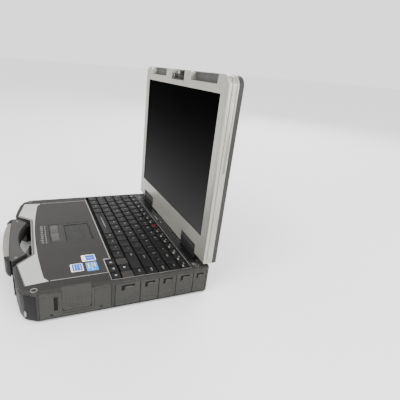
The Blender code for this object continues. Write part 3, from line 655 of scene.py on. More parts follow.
def key_row(node, row, start, widths, words):
    y0, y1 = ROW_Y[row]
    mid = (y0 + y1) / 2
    x, keys = start, []
    for w, word in zip(widths, words):
        keys.append((x, x + w - KEY_GAP, y0, y1, word))
        x += w
    key_piece(node, keys, ((keys[0][0] + 3, keys[-1][1] - 3), (mid - 3, mid + 3)))


LEFT, PITCH = -146.0, 19.0
key_row("key_row_function", "function", LEFT, [18.3] * 16,
        ["Esc"] + ["F%d" % i for i in range(1, 8)] + [None] + ["F9", "F10", "F11", "F12"]
        + ["Num", "Prt", "Ins"])
key_row("key_row_number", "number", LEFT, [PITCH] * 13 + [27.7], list("`1234567890-=") + ["Back"])
key_row("key_row_upper", "upper", LEFT, [27.0] + [PITCH] * 12 + [19.7],
        ["Tab"] + list("QWERTYUIOP[]\\"))
key_row("key_row_home", "home", LEFT, [32.0] + [PITCH] * 11, ["Caps"] + list("ASDFGHJKL;'"))
key_row("key_row_lower", "lower", LEFT, [42.0] + [PITCH] * 10 + [42.7],
        ["Shift"] + list("ZXCVBNM,./") + ["Shift"])
key_row("key_row_bottom_left", "bottom", LEFT, [20.0, 20.4, 20.0, 19.8],
        ["Fn", "Ctrl", "#", "Alt"])
key_row("key_row_bottom_right", "bottom", 20.2, [PITCH, PITCH, PITCH, 18.8],
        ["Alt", "Ctrl", "=", "Ins"])
key_piece("key_enter", [(95.4, 127.7, *ROW_Y["home"], "Enter")])
key_piece("key_space_bar", [(-65.4, 19.0, *ROW_Y["bottom"], None)])
key_piece("key_column_navigation",
          [(129.4, 146.0, *ROW_Y[r], w) for r, w in (("lower", "End"), ("home", "PgDn"),
                                                     ("upper", "PgUp"), ("number", "Del"))],
          ((134.5, 140.9), (ROW_Y["lower"][0] + 3, ROW_Y["number"][1] - 3)))
key_piece("key_arrow_left", [(97.4, 113.2, 116.6, 130.4, "<")])
key_piece("key_arrow_down", [(114.2, 129.8, 116.6, 130.4, "v")])
key_piece("key_arrow_right", [(130.9, 146.0, 116.6, 130.4, ">")])
key_piece("key_arrow_up", [(114.2, 129.8, 131.9, 147.6, "^")])

mark = Shape().box((-48, -4), (139.2, 140.1), (KEY_TOP - 0.36, KEY_TOP - 0.2), bevel=0.06)
piece(mark, "space_bar_line", "key_space_bar", "ink")
# the one red legend, on the eighth function key, and small second symbols on the number row
mark = Shape().text("F8", 3.6, (LEFT + 8 * 18.3 + 3.1, 227.3, KEY_TOP - 0.29), height=0.12,
                    align='LEFT')
mark.prism(ribbon([(LEFT + 8 * 18.3 + 3, 223.6), (LEFT + 8 * 18.3 + 14, 223.6)], 0.8),
           (KEY_TOP - 0.36, KEY_TOP - 0.2))
piece(mark, "function_red_legend", "key_row_function", "ink_red")
mark = Shape()
for i in range(16):
    if i != 8:
        mark.box((LEFT + 18.3 * i + 8.6, LEFT + 18.3 * i + 13.4), (222.9, 224.6),
                 (KEY_TOP - 0.36, KEY_TOP - 0.2), bevel=0.1)
piece(mark, "function_row_marks", "key_row_function", "ink")
mark = Shape()
for i, c in enumerate("~!@#$%^&*()_+"):
    mark.text(c, 3.2, (LEFT + PITCH * i + 12.4, 212.6, KEY_TOP - 0.29), height=0.12)
piece(mark, "number_row_marks", "key_row_number", "ink")

# rubber blanks beside the arrow keys
tray = Shape()
for x0, x1 in ((97.8, 113.0), (131.0, 145.8)):
    tray.prism(rounded(x0, x1, 132.0, 147.6, 1.2), (45.5, 46.0), bevel=0.3)
piece(tray, "keyboard_blanks", "base", "palm")

# ------------------------------------------------------------------ deck lines and rims
z = (46.25, 46.5)
line = Shape()
for sg in (-1, 1):
    line.prism(ribbon([(sg * 128.9, 38.5), (sg * 128.9, 114.9 if sg > 0 else 124.4)], 0.95), z,
               bevel=0.08)
line.prism(ribbon([(129.3, 114.9), (95.0, 114.9), (95.0, 124.35), (-129.3, 124.35)], 0.95), z,
           bevel=0.08)
piece(line, "palm_rest_line", "base", "line")
# silver strips round the keyboard frame; the one along its front edge is a painted highlight of that edge
line = Shape()
line.prism(ribbon([(-146.9, 125.2), (96.1, 125.2), (96.1, 115.7), (146.9, 115.7)], 0.7),
           (45.9, 46.35), bevel=0.08)
line.prism(ribbon([(146.9, 115.5), (146.9, 234.0), (-146.9, 234.0), (-146.9, 125.0)], 0.45),
           (45.9, 46.2), bevel=0.06)
piece(line, "keyboard_frame_highlight_line", "base", "line")

NOTCH = [(-80.6, -4.0), (-59.3, 18.6), (59.3, 18.6), (80.6, -4.0)]
rim = Shape().prism(ribbon([(-80.0, -2.6), (-58.6, 19.6), (58.6, 19.6), (80.0, -2.6)], 2.3),
                    (46.2, 46.62), bevel=0.25)
piece(rim, "handle_notch_rim", "base", "rim")
rim = Shape()
rim.prism(ribbon([(-81.6, -2.2), (-57.9, 21.3), (57.9, 21.3), (81.6, -2.2)], 0.6), (46.2, 46.45))
rim.prism(ribbon([(-132.2, 8.2), (-79.6, -2.3)], 0.5), (46.2, 46.42))
rim.prism(ribbon([(132.2, 8.2), (79.6, -2.3)], 0.5), (46.2, 46.42))
piece(rim, "handle_notch_shadow_line", "base", "dark")

# status window marks: generic small signs in front of a row of lamps
signs, lamps = Shape(), Shape()
zs = (46.25, 46.38)
for i in range(9):
    x = -28.5 + i * 6.95
    y = 34.3 + 6.0 * (i / 8 - 0.5) * 0 + 0.0
    kind = i % 4
    if kind == 0:
        signs.lathe([(1.9, zs[0]), (1.9, zs[1]), (1.35, zs[1]), (1.35, zs[0])], (x, y, 0),
                    segments=14)
    elif kind == 1:
        signs.ring(rounded(x - 1.7, x + 1.7, y - 1.5, y + 1.5, 0.5, 2), 0.5, zs)
        signs.box((x - 1.2, x + 1.2), (y - 0.6, y + 0.2), zs)
    elif kind == 2:
        for k in range(3):
            signs.box((x - 1.8, x + 1.8), (y - 1.7 + k * 1.4, y - 1.1 + k * 1.4), zs)
    else:
        signs.prism([(x - 1.8, y - 1.5), (x + 1.8, y - 1.5), (x, y + 1.8)], zs)
    lamps.prism(rounded(x - 1.5, x + 1.5, 38.9, 40.3, 0.5), (46.25, 46.36))
    if i % 3 == 1:
        signs.box((x - 1.2, x + 1.2), (y - 3.3, y - 2.8), zs)
piece(signs, "status_signs", "base", "sign")
piece(lamps, "status_lamps", "base", "sign")

# plain coloured stickers
s = Shape().prism(rounded(77.6, 94.6, 84.6, 104.6, 1.4), (46.2, 46.42), bevel=0.06)
s.prism(rounded(97.6, 116.8, 66.6, 83.9, 1.4), (46.2, 46.42), bevel=0.06)
piece(s, "sticker_white_sheets", "base", "label_white")
s = Shape().prism(rounded(79.6, 92.8, 90.2, 103.2, 0.8), (46.38, 46.5))
s.prism(rounded(99.0, 115.4, 68.8, 82.6, 0.8), (46.38, 46.5))
piece(s, "sticker_blue_fields", "base", "label_blue")
s = Shape().prism(rounded(97.9, 119.6, 88.0, 104.0, 1.2), (46.2, 46.42), bevel=0.06)
s.prism(rounded(102.0, 112.6, 74.4, 76.6, 0.5), (46.45, 46.56))
piece(s, "sticker_sky_fields", "base", "label_sky")
s = Shape().prism(ribbon([(98.2, 96.6), (105.5, 97.4), (111.0, 95.4), (119.2, 96.8)], 1.3),
                  (46.38, 46.52))
piece(s, "sticker_orange_stripe", "base", "label_orange")
s = Shape().box((80.2, 92.2), (87.0, 87.7), (46.38, 46.46))
s.box((80.2, 89.0), (88.4, 89.0), (46.38, 46.46))
s.box((101.0, 113.4), (91.0, 92.2), (46.38, 46.5))
s.box((101.0, 110.0), (100.2, 101.4), (46.38, 46.5))
s.prism(ribbon([(86.2, 90.6), (86.2, 102.8)], 0.5), (46.45, 46.56))
s.box((101.2, 113.2), (79.4, 80.2), (46.45, 46.56))
s.box((101.2, 113.2), (71.2, 72.0), (46.45, 46.56))
piece(s, "sticker_bars", "base", "label_white")

# rings round the four deck corners' fixings
ring, core = Shape(), Shape()
for sx in (-1, 1):
    for y, r in ((18.0, 4.3), (244.6, 3.3)):
        ring.lathe([(r, 46.0), (r, 46.4), (r - 0.35, 46.52), (r - 0.85, 46.52), (r - 1.1, 46.36),
                    (r - 1.1, 46.0)], (sx * 143.6, y, 0), segments=32)
        core.lathe([(r - 1.0, 46.0), (r - 1.0, 46.33), (r * 0.35, 46.36), (r * 0.3, 46.2),
                    (0.02, 46.2), (0.02, 46.0)], (sx * 143.6, y, 0), segments=24)
piece(ring, "deck_corner_rings", "base", "screw")
piece(core, "deck_corner_screws", "base", "rust")

# touchpad surround and buttons with a bowed front edge
win = Shape().prism(rounded(-32.3, 29.9, 46.2, 112.3, 2.6), (44.75, 46.0), bevel=0.35).object(
    "touchpad_surround")
cut(win, Shape().prism(rounded(-27.2, 32.0, 70.6, 110.8, 1.0), (40, 50)),
    Shape().prism([(24.9, 49.2), (24.9, 60.8), (-28.5, 60.8), (-28.5, 49.2), (-20, 47.6),
                   (-10, 46.9), (0, 46.7), (10, 47.0), (18, 47.8)], (40, 50)))
piece(win, "touchpad_surround", "base", "surround")
# painted shadow of the pad recess: a thin dark ring round its edge and wider dark strips along its far (-x)
# and front walls
s = Shape().ring(rounded(-27.4, 30.35, 70.4, 111.0, 1.2), 0.35, (45.9, 46.15))
s.prism([(-27.5, 70.4), (-25.6, 72.4), (-25.6, 110.8), (-27.5, 110.8)], (45.66, 45.84))
s.prism([(-27.5, 70.4), (30.2, 70.4), (30.2, 71.6), (-26.2, 71.6)], (45.66, 45.84))
piece(s, "touchpad_recess_shadow", "base", "dark")
for side, x0, x1 in (("left", -28.0, -2.2), ("right", -1.4, 24.4)):
    def bow(x):
        return 47.2 + 1.9 * ((x + 1.8) / 26.2) ** 2
    xs = [x0 + (x1 - x0) * k / 8 for k in range(9)]
    pts = [(x, bow(x)) for x in xs] + [(x1, 60.2), (x0, 60.2)]
    s = Shape().prism(pts, (45.4, 46.45), bevel=0.35,
                      pick=lambda a, b: a.z > 46.4 and b.z > 46.4)
    for i in range(12):
        for j in range(4):
            s.rod((x0 + 1.7 + i * 2.05, 50.6 + j * 2.3, 46.47), 0.42, 0.12, segments=8)
    piece(s, "touchpad_button_cap_" + side, "touchpad_button_" + side, "pad_button",
          replaces=("touchpad_button_" + side,))

# microphone hole and indicator strip on the rear bar, power button sign
s = Shape().lathe([(1.5, 46.2), (1.5, 46.42), (0.9, 46.42), (0.9, 46.2)], (-3, 243.0, 0),
                  segments=18)
s.box((-32, -15), (240.1, 241.0), (46.2, 46.36), bevel=0.06)
s.lathe([(1.7, 46.6), (1.7, 46.74), (1.25, 46.74), (1.25, 46.6)], (140.0, 240.5, 0), segments=20)
piece(s, "rear_bar_signs", "base", "sign")

# ------------------------------------------------------------------ front corners of the base
RIM = [(58.8, 17.5), (79.0, -3.0), (79.8, -5.8), (86.0, -7.4), (105.0, -4.8), (130.0, -0.1),
       (143.0, 5.5), (150.4, 18.6)]
s = Shape()
out = [(104.0, -5.4), (118.0, -2.9), (130.3, -0.7), (138.0, 2.4), (143.6, 5.3), (147.6, 11.6),
       (150.9, 18.9), (150.9, 20.6)]
back = [(150.0, 21.4), (149.4, 19.5), (142.2, 7.0), (129.6, 1.2), (105.0, -3.6)]
s.prism(out + back, (4.2, 40.6), bevel=0.35)
s.mirror()
piece(s, "front_corner_guards", "base", "guard")
s = Shape()
s.box((141.6, 145.0), (4.6, 8.4), (8.4, 15.2), bevel=0.9, segments=3, turn=('Z', 38))
s.box((141.9, 144.6), (5.0, 8.0), (15.4, 16.6), bevel=0.3, turn=('Z', 38))
s.mirror()
piece(s, "front_corner_lugs", "base", "screw")
s = Shape()
s.ring(rounded(86.0, 100.5, 10.0, 34.0, 1.2), 0.5, (-7.6, -5.0), "Y")
s.mirror()
piece(s, "front_wall_panels", "base", "case")

# ------------------------------------------------------------------ handle
ends = [(-70.0, -9.0)]


def arch(x_end, y_end, y_mid, n=12, power_=2.2):
    return [(x_end * (1 - 2 * i / n),
             y_mid + (y_end - y_mid) * abs(1 - 2 * i / n) ** power_) for i in range(n + 1)]


GRIP = ([(-70.0, -9.0)] + [(-x, y) for x, y in arch(64.0, -12.4, -14.0, 20)]
        + [(70.0, -9.0)] + arch(52.0, 11.0, -1.0, 20))
s = Shape().prism(GRIP, (20.5, 45.8), bevel=3.4, segments=5,
                  pick=lambda a, b: abs(a.z - b.z) < 0.1 and a.y + b.y > -17 and abs(a.x) < 69
                  and abs(b.x) < 69)
grip = s.object("handle_grip_body")
legs = Shape()
for sg in (-1, 1):
    leg = [(sg * x, y) for x, y in ((66.0, -11.0), (49.0, 9.0), (58.2, 17.0), (78.2, -3.6))]
    legs.prism(leg, (8.0, 37.0), bevel=0.8)
cut(grip, legs, operation='UNION')
piece(grip, "handle_grip_body", "base", "grip", replaces=("handle_grip",), angle=40)
BAND = ([(-69.0, -12.3)] + [(-x, y) for x, y in arch(66.0, -15.5, -24.0, 24, 2.6)]
        + [(69.0, -12.3)] + arch(64.0, -12.9, -14.5, 20))
s = Shape().prism(BAND, (20.8, 45.5), bevel=3.6, segments=5,
                  pick=lambda a, b: abs(a.z - b.z) < 0.1 and a.y + b.y < -29.8)
piece(s, "handle_band_body", "base", "band", replaces=("handle_front_cover",),
      angle=50)
s = Shape()
cap = [(54.0, -13.0), (54.0, -20.35), (58.0, -19.35), (62.0, -18.0), (65.6, -16.1), (69.4, -12.6),
       (69.8, -11.4), (64.0, -12.4)]
s.prism(cap, (20.3, 45.9), bevel=1.2, segments=3, pick=lambda a, b: a.y + b.y < -28)
s.mirror()
piece(s, "handle_end_caps", "base", "guard")
s = Shape()
for x in (-60.0, 60.0):
    s.screw((x, -4.0, 45.6), 1.9, height=0.35)
piece(s, "handle_screws", "base", "screw")
# the latch comb in the wall behind the handle, and a closing plate below it
s = Shape().prism(ribbon([(26, 16.6), (29, 14.2), (32, 16.9), (35, 13.8), (38, 16.9), (41, 13.8),
                          (44, 16.9), (47, 14.6)], 1.1), (39.0, 43.6), bevel=0.2)
piece(s, "handle_recess_spring", "base", "dark")
s = Shape().prism([(14, 18.2), (20, 12.0), (30, 8.6), (42, 8.0), (50, 10.8), (55, 16.0),
                   (56, 18.2)], (26.0, 36.0), bevel=1.6, segments=3)
s.box((-52, 52), (16.9, 18.6), (10, 12), bevel=0.3)
s.box((-52, 52), (16.9, 18.6), (36.5, 38.0), bevel=0.3)
piece(s, "handle_recess_bumper", "base", "rim")

# ------------------------------------------------------------------ right side
s = copy_of("battery_end_cover", "battery_cover_face")
tools = [Shape().prism(ribbon([(24.0, 37.6), (46.6, 37.6), (46.6, 14.0), (47.4, 11.0),
                               (49.6, 8.9), (52.5, 8.2), (86.5, 8.2), (89.4, 8.9), (91.2, 11.0),
                               (91.8, 14.0), (91.8, 36.0), (93.4, 38.8), (112.5, 38.8)], 0.9),
                       (150.45, 152), axis="X"),
         Shape().box((149.8, 152), (40.2, 45.4), (14.5, 36.0), bevel=0.8),
         Shape().box((150.3, 152), (97.0, 111.8), (12.0, 13.0)),
         Shape().rod((151, 36.9, 8.6), 2.1, 1.0, "X", 20),
         Shape().rod((151, 101.2, 8.9), 2.1, 1.0, "X", 20)]
cut(s, *tools)
piece(s, "battery_cover_face", "battery", "cover", replaces=("battery_end_cover",))
s = Shape()
for y, zz in ((36.9, 8.6), (101.2, 8.9)):
    s.screw((150.6, y, zz), 1.75, "X", 1, 0.25)
piece(s, "battery_cover_screws", "battery", "dark_steel")
s = Shape().box((149.82, 150.1), (40.6, 45.0), (15.0, 35.5), bevel=0.1)
piece(s, "battery_cover_pocket_floor", "battery", "dark")
s = Shape().prism([(94.4, 40.5), (100.6, 40.9), (102.4, 41.9), (96.0, 41.7)], (150.4, 150.98),
                  axis="X")
piece(s, "battery_cover_bright_edge", "battery", "screw")

# the battery tab: thinner face with a raised frame, a U shaped rib and a finger grip
TAB = [(12.1, 149.9), (12.1, 150.5), (45.0, 150.5), (46.75, 149.6), (46.75, 145.0),
       (45.5, 145.0), (45.5, 149.9)]
s = Shape()
low = [s.bm.verts.new((x, 50.5, zz)) for zz, x in TAB]
top = [s.bm.verts.new((x, 88.0, zz)) for zz, x in TAB]
fs = [s.bm.faces.new(low), s.bm.faces.new(top[::-1])]
for i in range(len(TAB)):
    j = (i + 1) % len(TAB)
    fs.append(s.bm.faces.new((low[j], low[i], top[i], top[j])))
bmesh.ops.recalc_face_normals(s.bm, faces=fs)
s = s.object("battery_tab_face")
cut(s, Shape().prism([(48, 30), (50.5, 17.0), (54.5, 12.1), (54.5, 10), (48, 10)], (140, 160), "X"),
    Shape().prism([(90, 30), (88.0, 17.0), (84.0, 12.1), (84.0, 10), (90, 10)], (140, 160), "X"))
piece(s, "battery_tab_face", "battery_latch", "cover", replaces=("battery_latch_tab",))
s = Shape()
s.prism(ribbon([(55.0, 37.0), (56.2, 18.4), (58.4, 16.2), (80.2, 16.2), (82.4, 18.4),
                (83.4, 37.0)], 1.3), (150.3, 150.95), axis="X", bevel=0.2)
s.prism(ribbon([(60.5, 31.0), (60.5, 21.0), (62.0, 19.6), (76.6, 19.6), (78.2, 21.0),
                (78.2, 31.0)], 1.0), (150.3, 150.9), axis="X", bevel=0.2)
for k in range(3):
    s.prism(rounded(63.6, 75.0, 22.6 + k * 3.3, 24.6 + k * 3.3, 0.9), (150.3, 150.9), axis="X",
            bevel=0.2)
s.prism(rounded(65.0, 74.0, 38.0, 39.2, 0.5), (150.3, 150.8), axis="X")
piece(s, "battery_tab_ribs", "battery_latch", "cover")

EDGES = [119.5, 155.5, 182.8, 209.4, 236.8, 258.0]
for i in range(5):
    y0, y1 = EDGES[i] + 0.15, EDGES[i + 1] - 0.15
    w = y1 - y0
    name = "port_door_right_%d" % (i + 1)
    s = copy_of("port_cover_right_%d" % (i + 1), name)
    a, b = y0 + 0.24 * w, y0 + 0.78 * w
    tools = [Shape().box((149.2, 152), (y0 - 1, y0 + 0.5), (0, 50)),
             Shape().box((149.2, 152), (y1 - 0.5, y1 + 1), (0, 50)),
             Shape().prism([(a, 28.6), (a + 0.14 * w, 28.6), (a + 0.14 * w, 33.9), (b, 33.9),
                            (b, 37.4), (a, 37.4)], (149.6, 152), "X"),
             Shape().box((150.5, 152), (y0 - 1, y1 + 1), (7.2, 8.0)),
             Shape().prism(ribbon([(y0 + 0.30 * w, 15.4), (y0 + 0.80 * w, 15.4),
                                   (y0 + 0.80 * w, 24.0)], 0.5), (150.65, 152), "X"),
             Shape().prism(ribbon([(y0 + 0.24 * w, 11.4), (y0 + 0.40 * w, 11.4)], 0.7),
                           (150.6, 152), "X"),
             Shape().prism(ribbon([(y0 + 0.46 * w, 11.4), (y0 + 0.54 * w, 11.4)], 0.7),
                           (150.6, 152), "X"),
             Shape().prism(ribbon([(y0 + 0.6 * w, 11.4), (y0 + 0.74 * w, 11.4)], 0.7),
                           (150.6, 152), "X"),
             Shape().prism(ribbon([(a + 0.15 * w, 28.2), (b + 0.02 * w, 28.2),
                                   (b + 0.02 * w, 33.4)], 0.4), (150.65, 152), "X")]
    cut(s, *tools)
    piece(s, name, "port_cover_right_%d" % (i + 1), "cover",
          replaces=("port_cover_right_%d" % (i + 1),))
    f = Shape().prism([(a + 0.1, 28.7), (a + 0.14 * w - 0.1, 28.7), (a + 0.14 * w - 0.1, 34.0),
                       (b - 0.1, 34.0), (b - 0.1, 37.3), (a + 0.1, 37.3)], (149.55, 149.85), "X")
    piece(f, name + "_slot", "port_cover_right_%d" % (i + 1), "dark")
    f = Shape().prism(rounded(a + 0.18 * w, a + 0.40 * w, 29.2, 34.6, 0.5), (150.2, 150.98), "X",
                      bevel=0.2)
    piece(f, name + "_slider", "port_cover_right_%d" % (i + 1), "rim")

# ------------------------------------------------------------------ lid, front
LID_R = 13.0
ARC = [(151.0 - LID_R + LID_R * math.cos(math.radians(a)),
        311.7 - LID_R + LID_R * math.sin(math.radians(a))) for a in range(0, 91, 15)]
PATH = [(151.0, 52.5)] + ARC + [(-x, zz) for x, zz in reversed(ARC)] + [(-151.0, 52.5)]


def around(d, half, lowest):
    """The lid's outline moved inwards by d, as an open path from one chin to the other."""
    r = LID_R - d
    arc = [(151.0 - LID_R + r * math.cos(math.radians(a)),
            311.7 - LID_R + r * math.sin(math.radians(a))) for a in range(0, 91, 10)]
    right = [(151.0 - d, lowest)] + arc
    return right + [(-x, zz) for x, zz in reversed(right)]


s = copy_of("lid_front_bezel", "lid_bezel_frame")
round_edges(s, 2.0, 4, lambda a, b: a.y < 250 and b.y < 250 and max(a.z, b.z) > 56
            and (abs(a.x) > 149 or a.z > 310) and (abs(b.x) > 149 or b.z > 310), angle=15)
cut(s, Shape().prism(ribbon(around(0.0, 0, 57.0), 1.7), (254.6, 255.5), "Y"),
    Shape().prism(ribbon(around(0.0, 0, 190.0)[:12], 1.9), (258.6, 262.0), "Y"),
    Shape().prism(ribbon([(-x, zz) for x, zz in around(0.0, 0, 190.0)[:12]], 1.9),
                  (258.6, 262.0), "Y"),
    Shape().prism(ribbon(around(4.6, 0, 100.0)[:10], 0.8), (249.0, 250.2), "Y"),
    Shape().prism(ribbon([(-x, zz) for x, zz in around(4.6, 0, 100.0)[:10]], 0.8),
                  (249.0, 250.2), "Y"))
piece(s, "lid_bezel_frame", "lid", "bezel", replaces=("lid_front_bezel",),
      angle=35)

s = Shape().prism(ribbon(around(0.72, 0, 57.5), 0.3), (254.65, 255.45), "Y")
piece(s, "lid_side_groove_shadow", "lid", "recess")
s = Shape()
s.prism([(46.4, 299.7), (122.8, 299.7), (125.3, 311.2), (43.7, 311.2)], (257.95, 258.35), "Y")
s.prism([(-46.4 - 4, 299.7), (-120.8, 299.7), (-122.8, 311.2), (-48.2, 311.2)],
        (257.95, 258.35), "Y")
s.prism([(46.3, 299.45), (122.7, 299.45), (122.8, 299.8), (46.2, 299.8)], (250.9, 258.1), "Y")
s.prism([(-50.3, 299.45), (-120.7, 299.45), (-120.8, 299.8), (-50.2, 299.8)], (250.9, 258.1), "Y")
piece(s, "lid_top_recess_lining", "lid", "recess")
s = Shape()
for sg in (-1, 1):
    s.lathe([(2.5, -0.3), (2.5, 0.05), (2.1, 0.34), (1.2, 0.42), (0.02, 0.44), (0.02, -0.3)],
            (0, 0, 0), segments=24)
    for v in s.bm.verts:
        if abs(v.co.x) < 5 and abs(v.co.y) < 5 and abs(v.co.z) < 5:
            v.co = Vector((sg * 138.6 + v.co.x, 249.7 - v.co.z, 298.7 + v.co.y))
for x in (-100.0, 100.0, 0.0):
    n0 = len(s.bm.verts)
    s.lathe([(2.2, -0.3), (2.2, 0.1), (1.8, 0.32), (0.02, 0.36), (0.02, -0.3)], (0, 0, 0),
            segments=20)
    for v in s.bm.verts:
        if abs(v.co.x) < 5 and abs(v.co.y) < 5 and abs(v.co.z) < 5:
            v.co = Vector((x + v.co.x, 249.7 - v.co.z, 78.0 + v.co.y))
bmesh.ops.recalc_face_normals(s.bm, faces=s.bm.faces[:])
piece(s, "lid_bezel_caps", "lid", "bezel")
s = Shape()
s.ring([(-134.4, 88.8), (134.4, 88.8), (134.4, 289.1), (-134.4, 289.1)], 0.9, (250.4, 251.1),
       "Y")
piece(s, "screen_gasket", "lid", "dark")

# latch: lever block, side arm, hook and a light cap
s = Shape()
s.prism([(251.0, 302.2), (252.9, 299.2), (257.2, 298.2), (258.0, 300.4), (258.0, 304.6),
         (251.0, 304.6)], (-4.5, 21.6), "X", bevel=0.4)
s.box((-24.6, -4.0), (251.6, 256.6), (301.2, 304.2), bevel=0.6, segments=3)
s.box((-20.0, -14.0), (250.8, 257.6), (299.8, 305.4), bevel=0.7, segments=3)
s.box((-2.0, 17.0), (252.6, 257.8), (304.0, 307.6), bevel=0.7, segments=3)
s.prism([(251.0, 306.0), (257.2, 306.0), (257.6, 309.4), (255.4, 311.1), (252.4, 311.1),
         (250.8, 309.6), (251.0, 308.2), (252.6, 308.2)], (2.0, 13.4), "X", bevel=0.4)
piece(s, "lid_latch_lever", "lid_latch", "guard", replaces=("lid_latch",))
s = Shape()
s.box((-11.6, -5.8), (254.0, 257.8), (304.4, 309.6), bevel=0.9, segments=3)
s.rod((-17.0, 251.2, 302.6), 1.5, 0.9, "Y", 20, bevel=0.2)
piece(s, "lid_latch_cap", "lid_latch", "bezel")

# ------------------------------------------------------------------ hinge covers
s = Shape()
for y, zz in ((267.45, 44.0),):
    s.prism(rounded(77.0, 114.0, 41.2, 48.6, 3.4), (267.4, 268.1), "Y", bevel=0.3)
    s.prism(rounded(80.0, 111.0, 43.6, 46.2, 1.2), (267.9, 268.4), "Y", bevel=0.2)
s.mirror()
piece(s, "hinge_cover_plates", "base", "cover")
s = Shape()
for k in range(5):
    t = math.radians(30 + k * 30)
    s.box((73.0, 118.0), (258.7 + 9.2 * math.cos(t) - 0.35, 258.7 + 9.2 * math.cos(t) + 0.35),
          (56.0 + 9.2 * math.sin(t) - 0.3, 56.0 + 9.2 * math.sin(t) + 0.3), bevel=0.15)
s.mirror()
piece(s, "hinge_cover_ribs", "base", "plastic")

# ------------------------------------------------------------------ lid, back
s = copy_of("lid_back_shell", "lid_back_frame")
PANEL = smooth_corners(both([(66.0, 52.0), (66.0, 70.6), (126.0, 70.6), (135.2, 92.3),
                             (142.6, 165.3), (142.6, 236.3), (120.0, 249.3), (49.0, 289.5),
                             (40.5, 304.0)]), 4.0)
TONGUE = both([(17.0, 231.7), (28.0, 236.5), (86.0, 292.5)])
cut(s, Shape().prism(ribbon([(43.5, 303.6), (124.0, 303.6), (128.5, 300.4)], 0.9),
                     (271.75, 280), "Y"),
    Shape().prism(ribbon([(-43.5, 303.6), (-124.0, 303.6), (-128.5, 300.4)], 0.9),
                  (271.75, 280), "Y"),
    Shape().prism(ribbon([(48.0, 296.0), (126.0, 296.0)], 0.9), (271.75, 280), "Y"),
    Shape().prism(ribbon([(-48.0, 296.0), (-126.0, 296.0)], 0.9), (271.75, 280), "Y"),
    Shape().ring(PANEL, 1.7, (271.7, 280), "Y"),
    *[Shape().rod((x, 272.2, zz), 2.6, 1.4, "Y", 20)
      for x, zz in ((138.6, 299.3), (-138.6, 299.3), (32.0, 305.6), (-32.0, 305.6),
                    (146.4, 226.3), (-146.4, 226.3), (146.4, 123.3), (-146.4, 123.3),
                    (131.0, 56.0), (-131.0, 56.0))])
piece(s, "lid_back_frame", "lid", "lid", replaces=("lid_back_shell",))
s = Shape()
for x, zz in ((138.6, 299.3), (-138.6, 299.3), (32.0, 305.6), (-32.0, 305.6), (146.4, 226.3),
              (-146.4, 226.3), (146.4, 123.3), (-146.4, 123.3), (131.0, 56.0), (-131.0, 56.0)):
    s.screw((x, 271.55, zz), 2.2, "Y", 1, 0.35)
piece(s, "lid_back_screws", "lid", "dark_steel")

s = Shape().prism(PANEL, (271.3, 272.62), "Y", bevel=0.3,
                  pick=lambda a, b: a.y > 272.5 and b.y > 272.5).object("lid_back_panel")
cut(s, Shape().prism([(-17.2, 231.2), (17.2, 231.2), (28.4, 236.0), (90.0, 295.5),
                      (-90.0, 295.5), (-28.4, 236.0)], (272.0, 280), "Y"),
    Shape().prism(both([(x * 1.012, 178.5 + (zz - 178.5) * 1.02) for x, zz in
                        ((20.0, 150.3), (38.0, 149.4), (52.0, 144.3), (62.0, 154.3),
                         (57.5, 179.0), (62.0, 203.3), (52.0, 214.3), (38.0, 208.6),
                         (20.0, 207.3))]), (260, 280), "Y"),
    *[Shape().prism(ribbon(p, 0.45), (272.45, 280), "Y") for p in (
        [(60.0, 226.0), (78.0, 202.3), (62.0, 186.0)], [(-60.0, 226.0), (-78.0, 202.3),
                                                        (-62.0, 186.0)],
        [(84.0, 160.0), (110.0, 140.3), (134.0, 107.3)],
        [(-84.0, 160.0), (-110.0, 140.3), (-134.0, 107.3)],
        [(46.0, 132.0), (0.0, 118.0), (-46.0, 132.0)])])
piece(s, "lid_back_panel", "lid", "lid_rough")
s = Shape().prism(smooth_corners([(136.0, 262.0), (136.0, 288.0), (132.0, 292.6), (90.6, 292.6),
                                  (77.2, 279.6), (121.4, 254.4)], 3.0), (271.3, 272.55), "Y",
                  bevel=0.3, pick=lambda a, b: a.y > 272.5 and b.y > 272.5)
s.mirror()
piece(s, "lid_back_corner_plates", "lid", "lid_smooth")
s = Shape().prism(smooth_corners(both([(16.6, 233.0), (27.0, 237.9), (49.4, 259.8),
                                       (36.0, 303.2)]), 2.0), (271.0, 271.9), "Y", bevel=0.25,
                  pick=lambda a, b: a.y > 271.8 and b.y > 271.8)
piece(s, "lid_back_tongue", "lid", "lid_rough")
HIDE = both([(20.0, 150.3), (38.0, 149.4), (52.0, 144.3), (62.0, 154.3), (57.5, 179.0),
             (62.0, 203.3), (52.0, 214.3), (38.0, 208.6), (20.0, 207.3)])
s = Shape().prism(smooth_corners(HIDE, 7.0, 4), (271.5, 272.45), "Y", bevel=0.3,
                  pick=lambda a, b: a.y > 272.4 and b.y > 272.4)
piece(s, "lid_badge_plate", "lid", "badge", replaces=("lid_badge",))
s = Shape()
s.ring(rounded(-48.0, 48.0, 171.8, 187.8, 1.0, 2), 0.9, (272.3, 272.78), "Y")
for k in range(9):
    x = -41.0 + k * 10.25
    s.prism(ribbon([(x - 2.0, 175.4), (x + 2.0, 184.2)], 1.6), (272.3, 272.78), "Y")
piece(s, "lid_badge_ribs", "lid", "badge_edge")
# black seam gasket between the two lid shells
s = Shape().prism(ribbon(around(0.55, 0, 56.0), 1.0), (263.9, 265.0), "Y")
piece(s, "lid_seam_gasket", "lid", "dark")
# plate closing the middle of the lid's lower edge, and the cable cover between the hinges
s = Shape()
s.box((-58.0, 58.0), (266.0, 270.6), (47.6, 52.4), bevel=0.9, segments=3)
for x in (-48.0, -16.0, 16.0, 48.0):
    s.box((x - 5, x + 5), (270.2, 271.6), (48.6, 51.6), bevel=0.4)
piece(s, "lid_lower_strip", "lid", "dark")

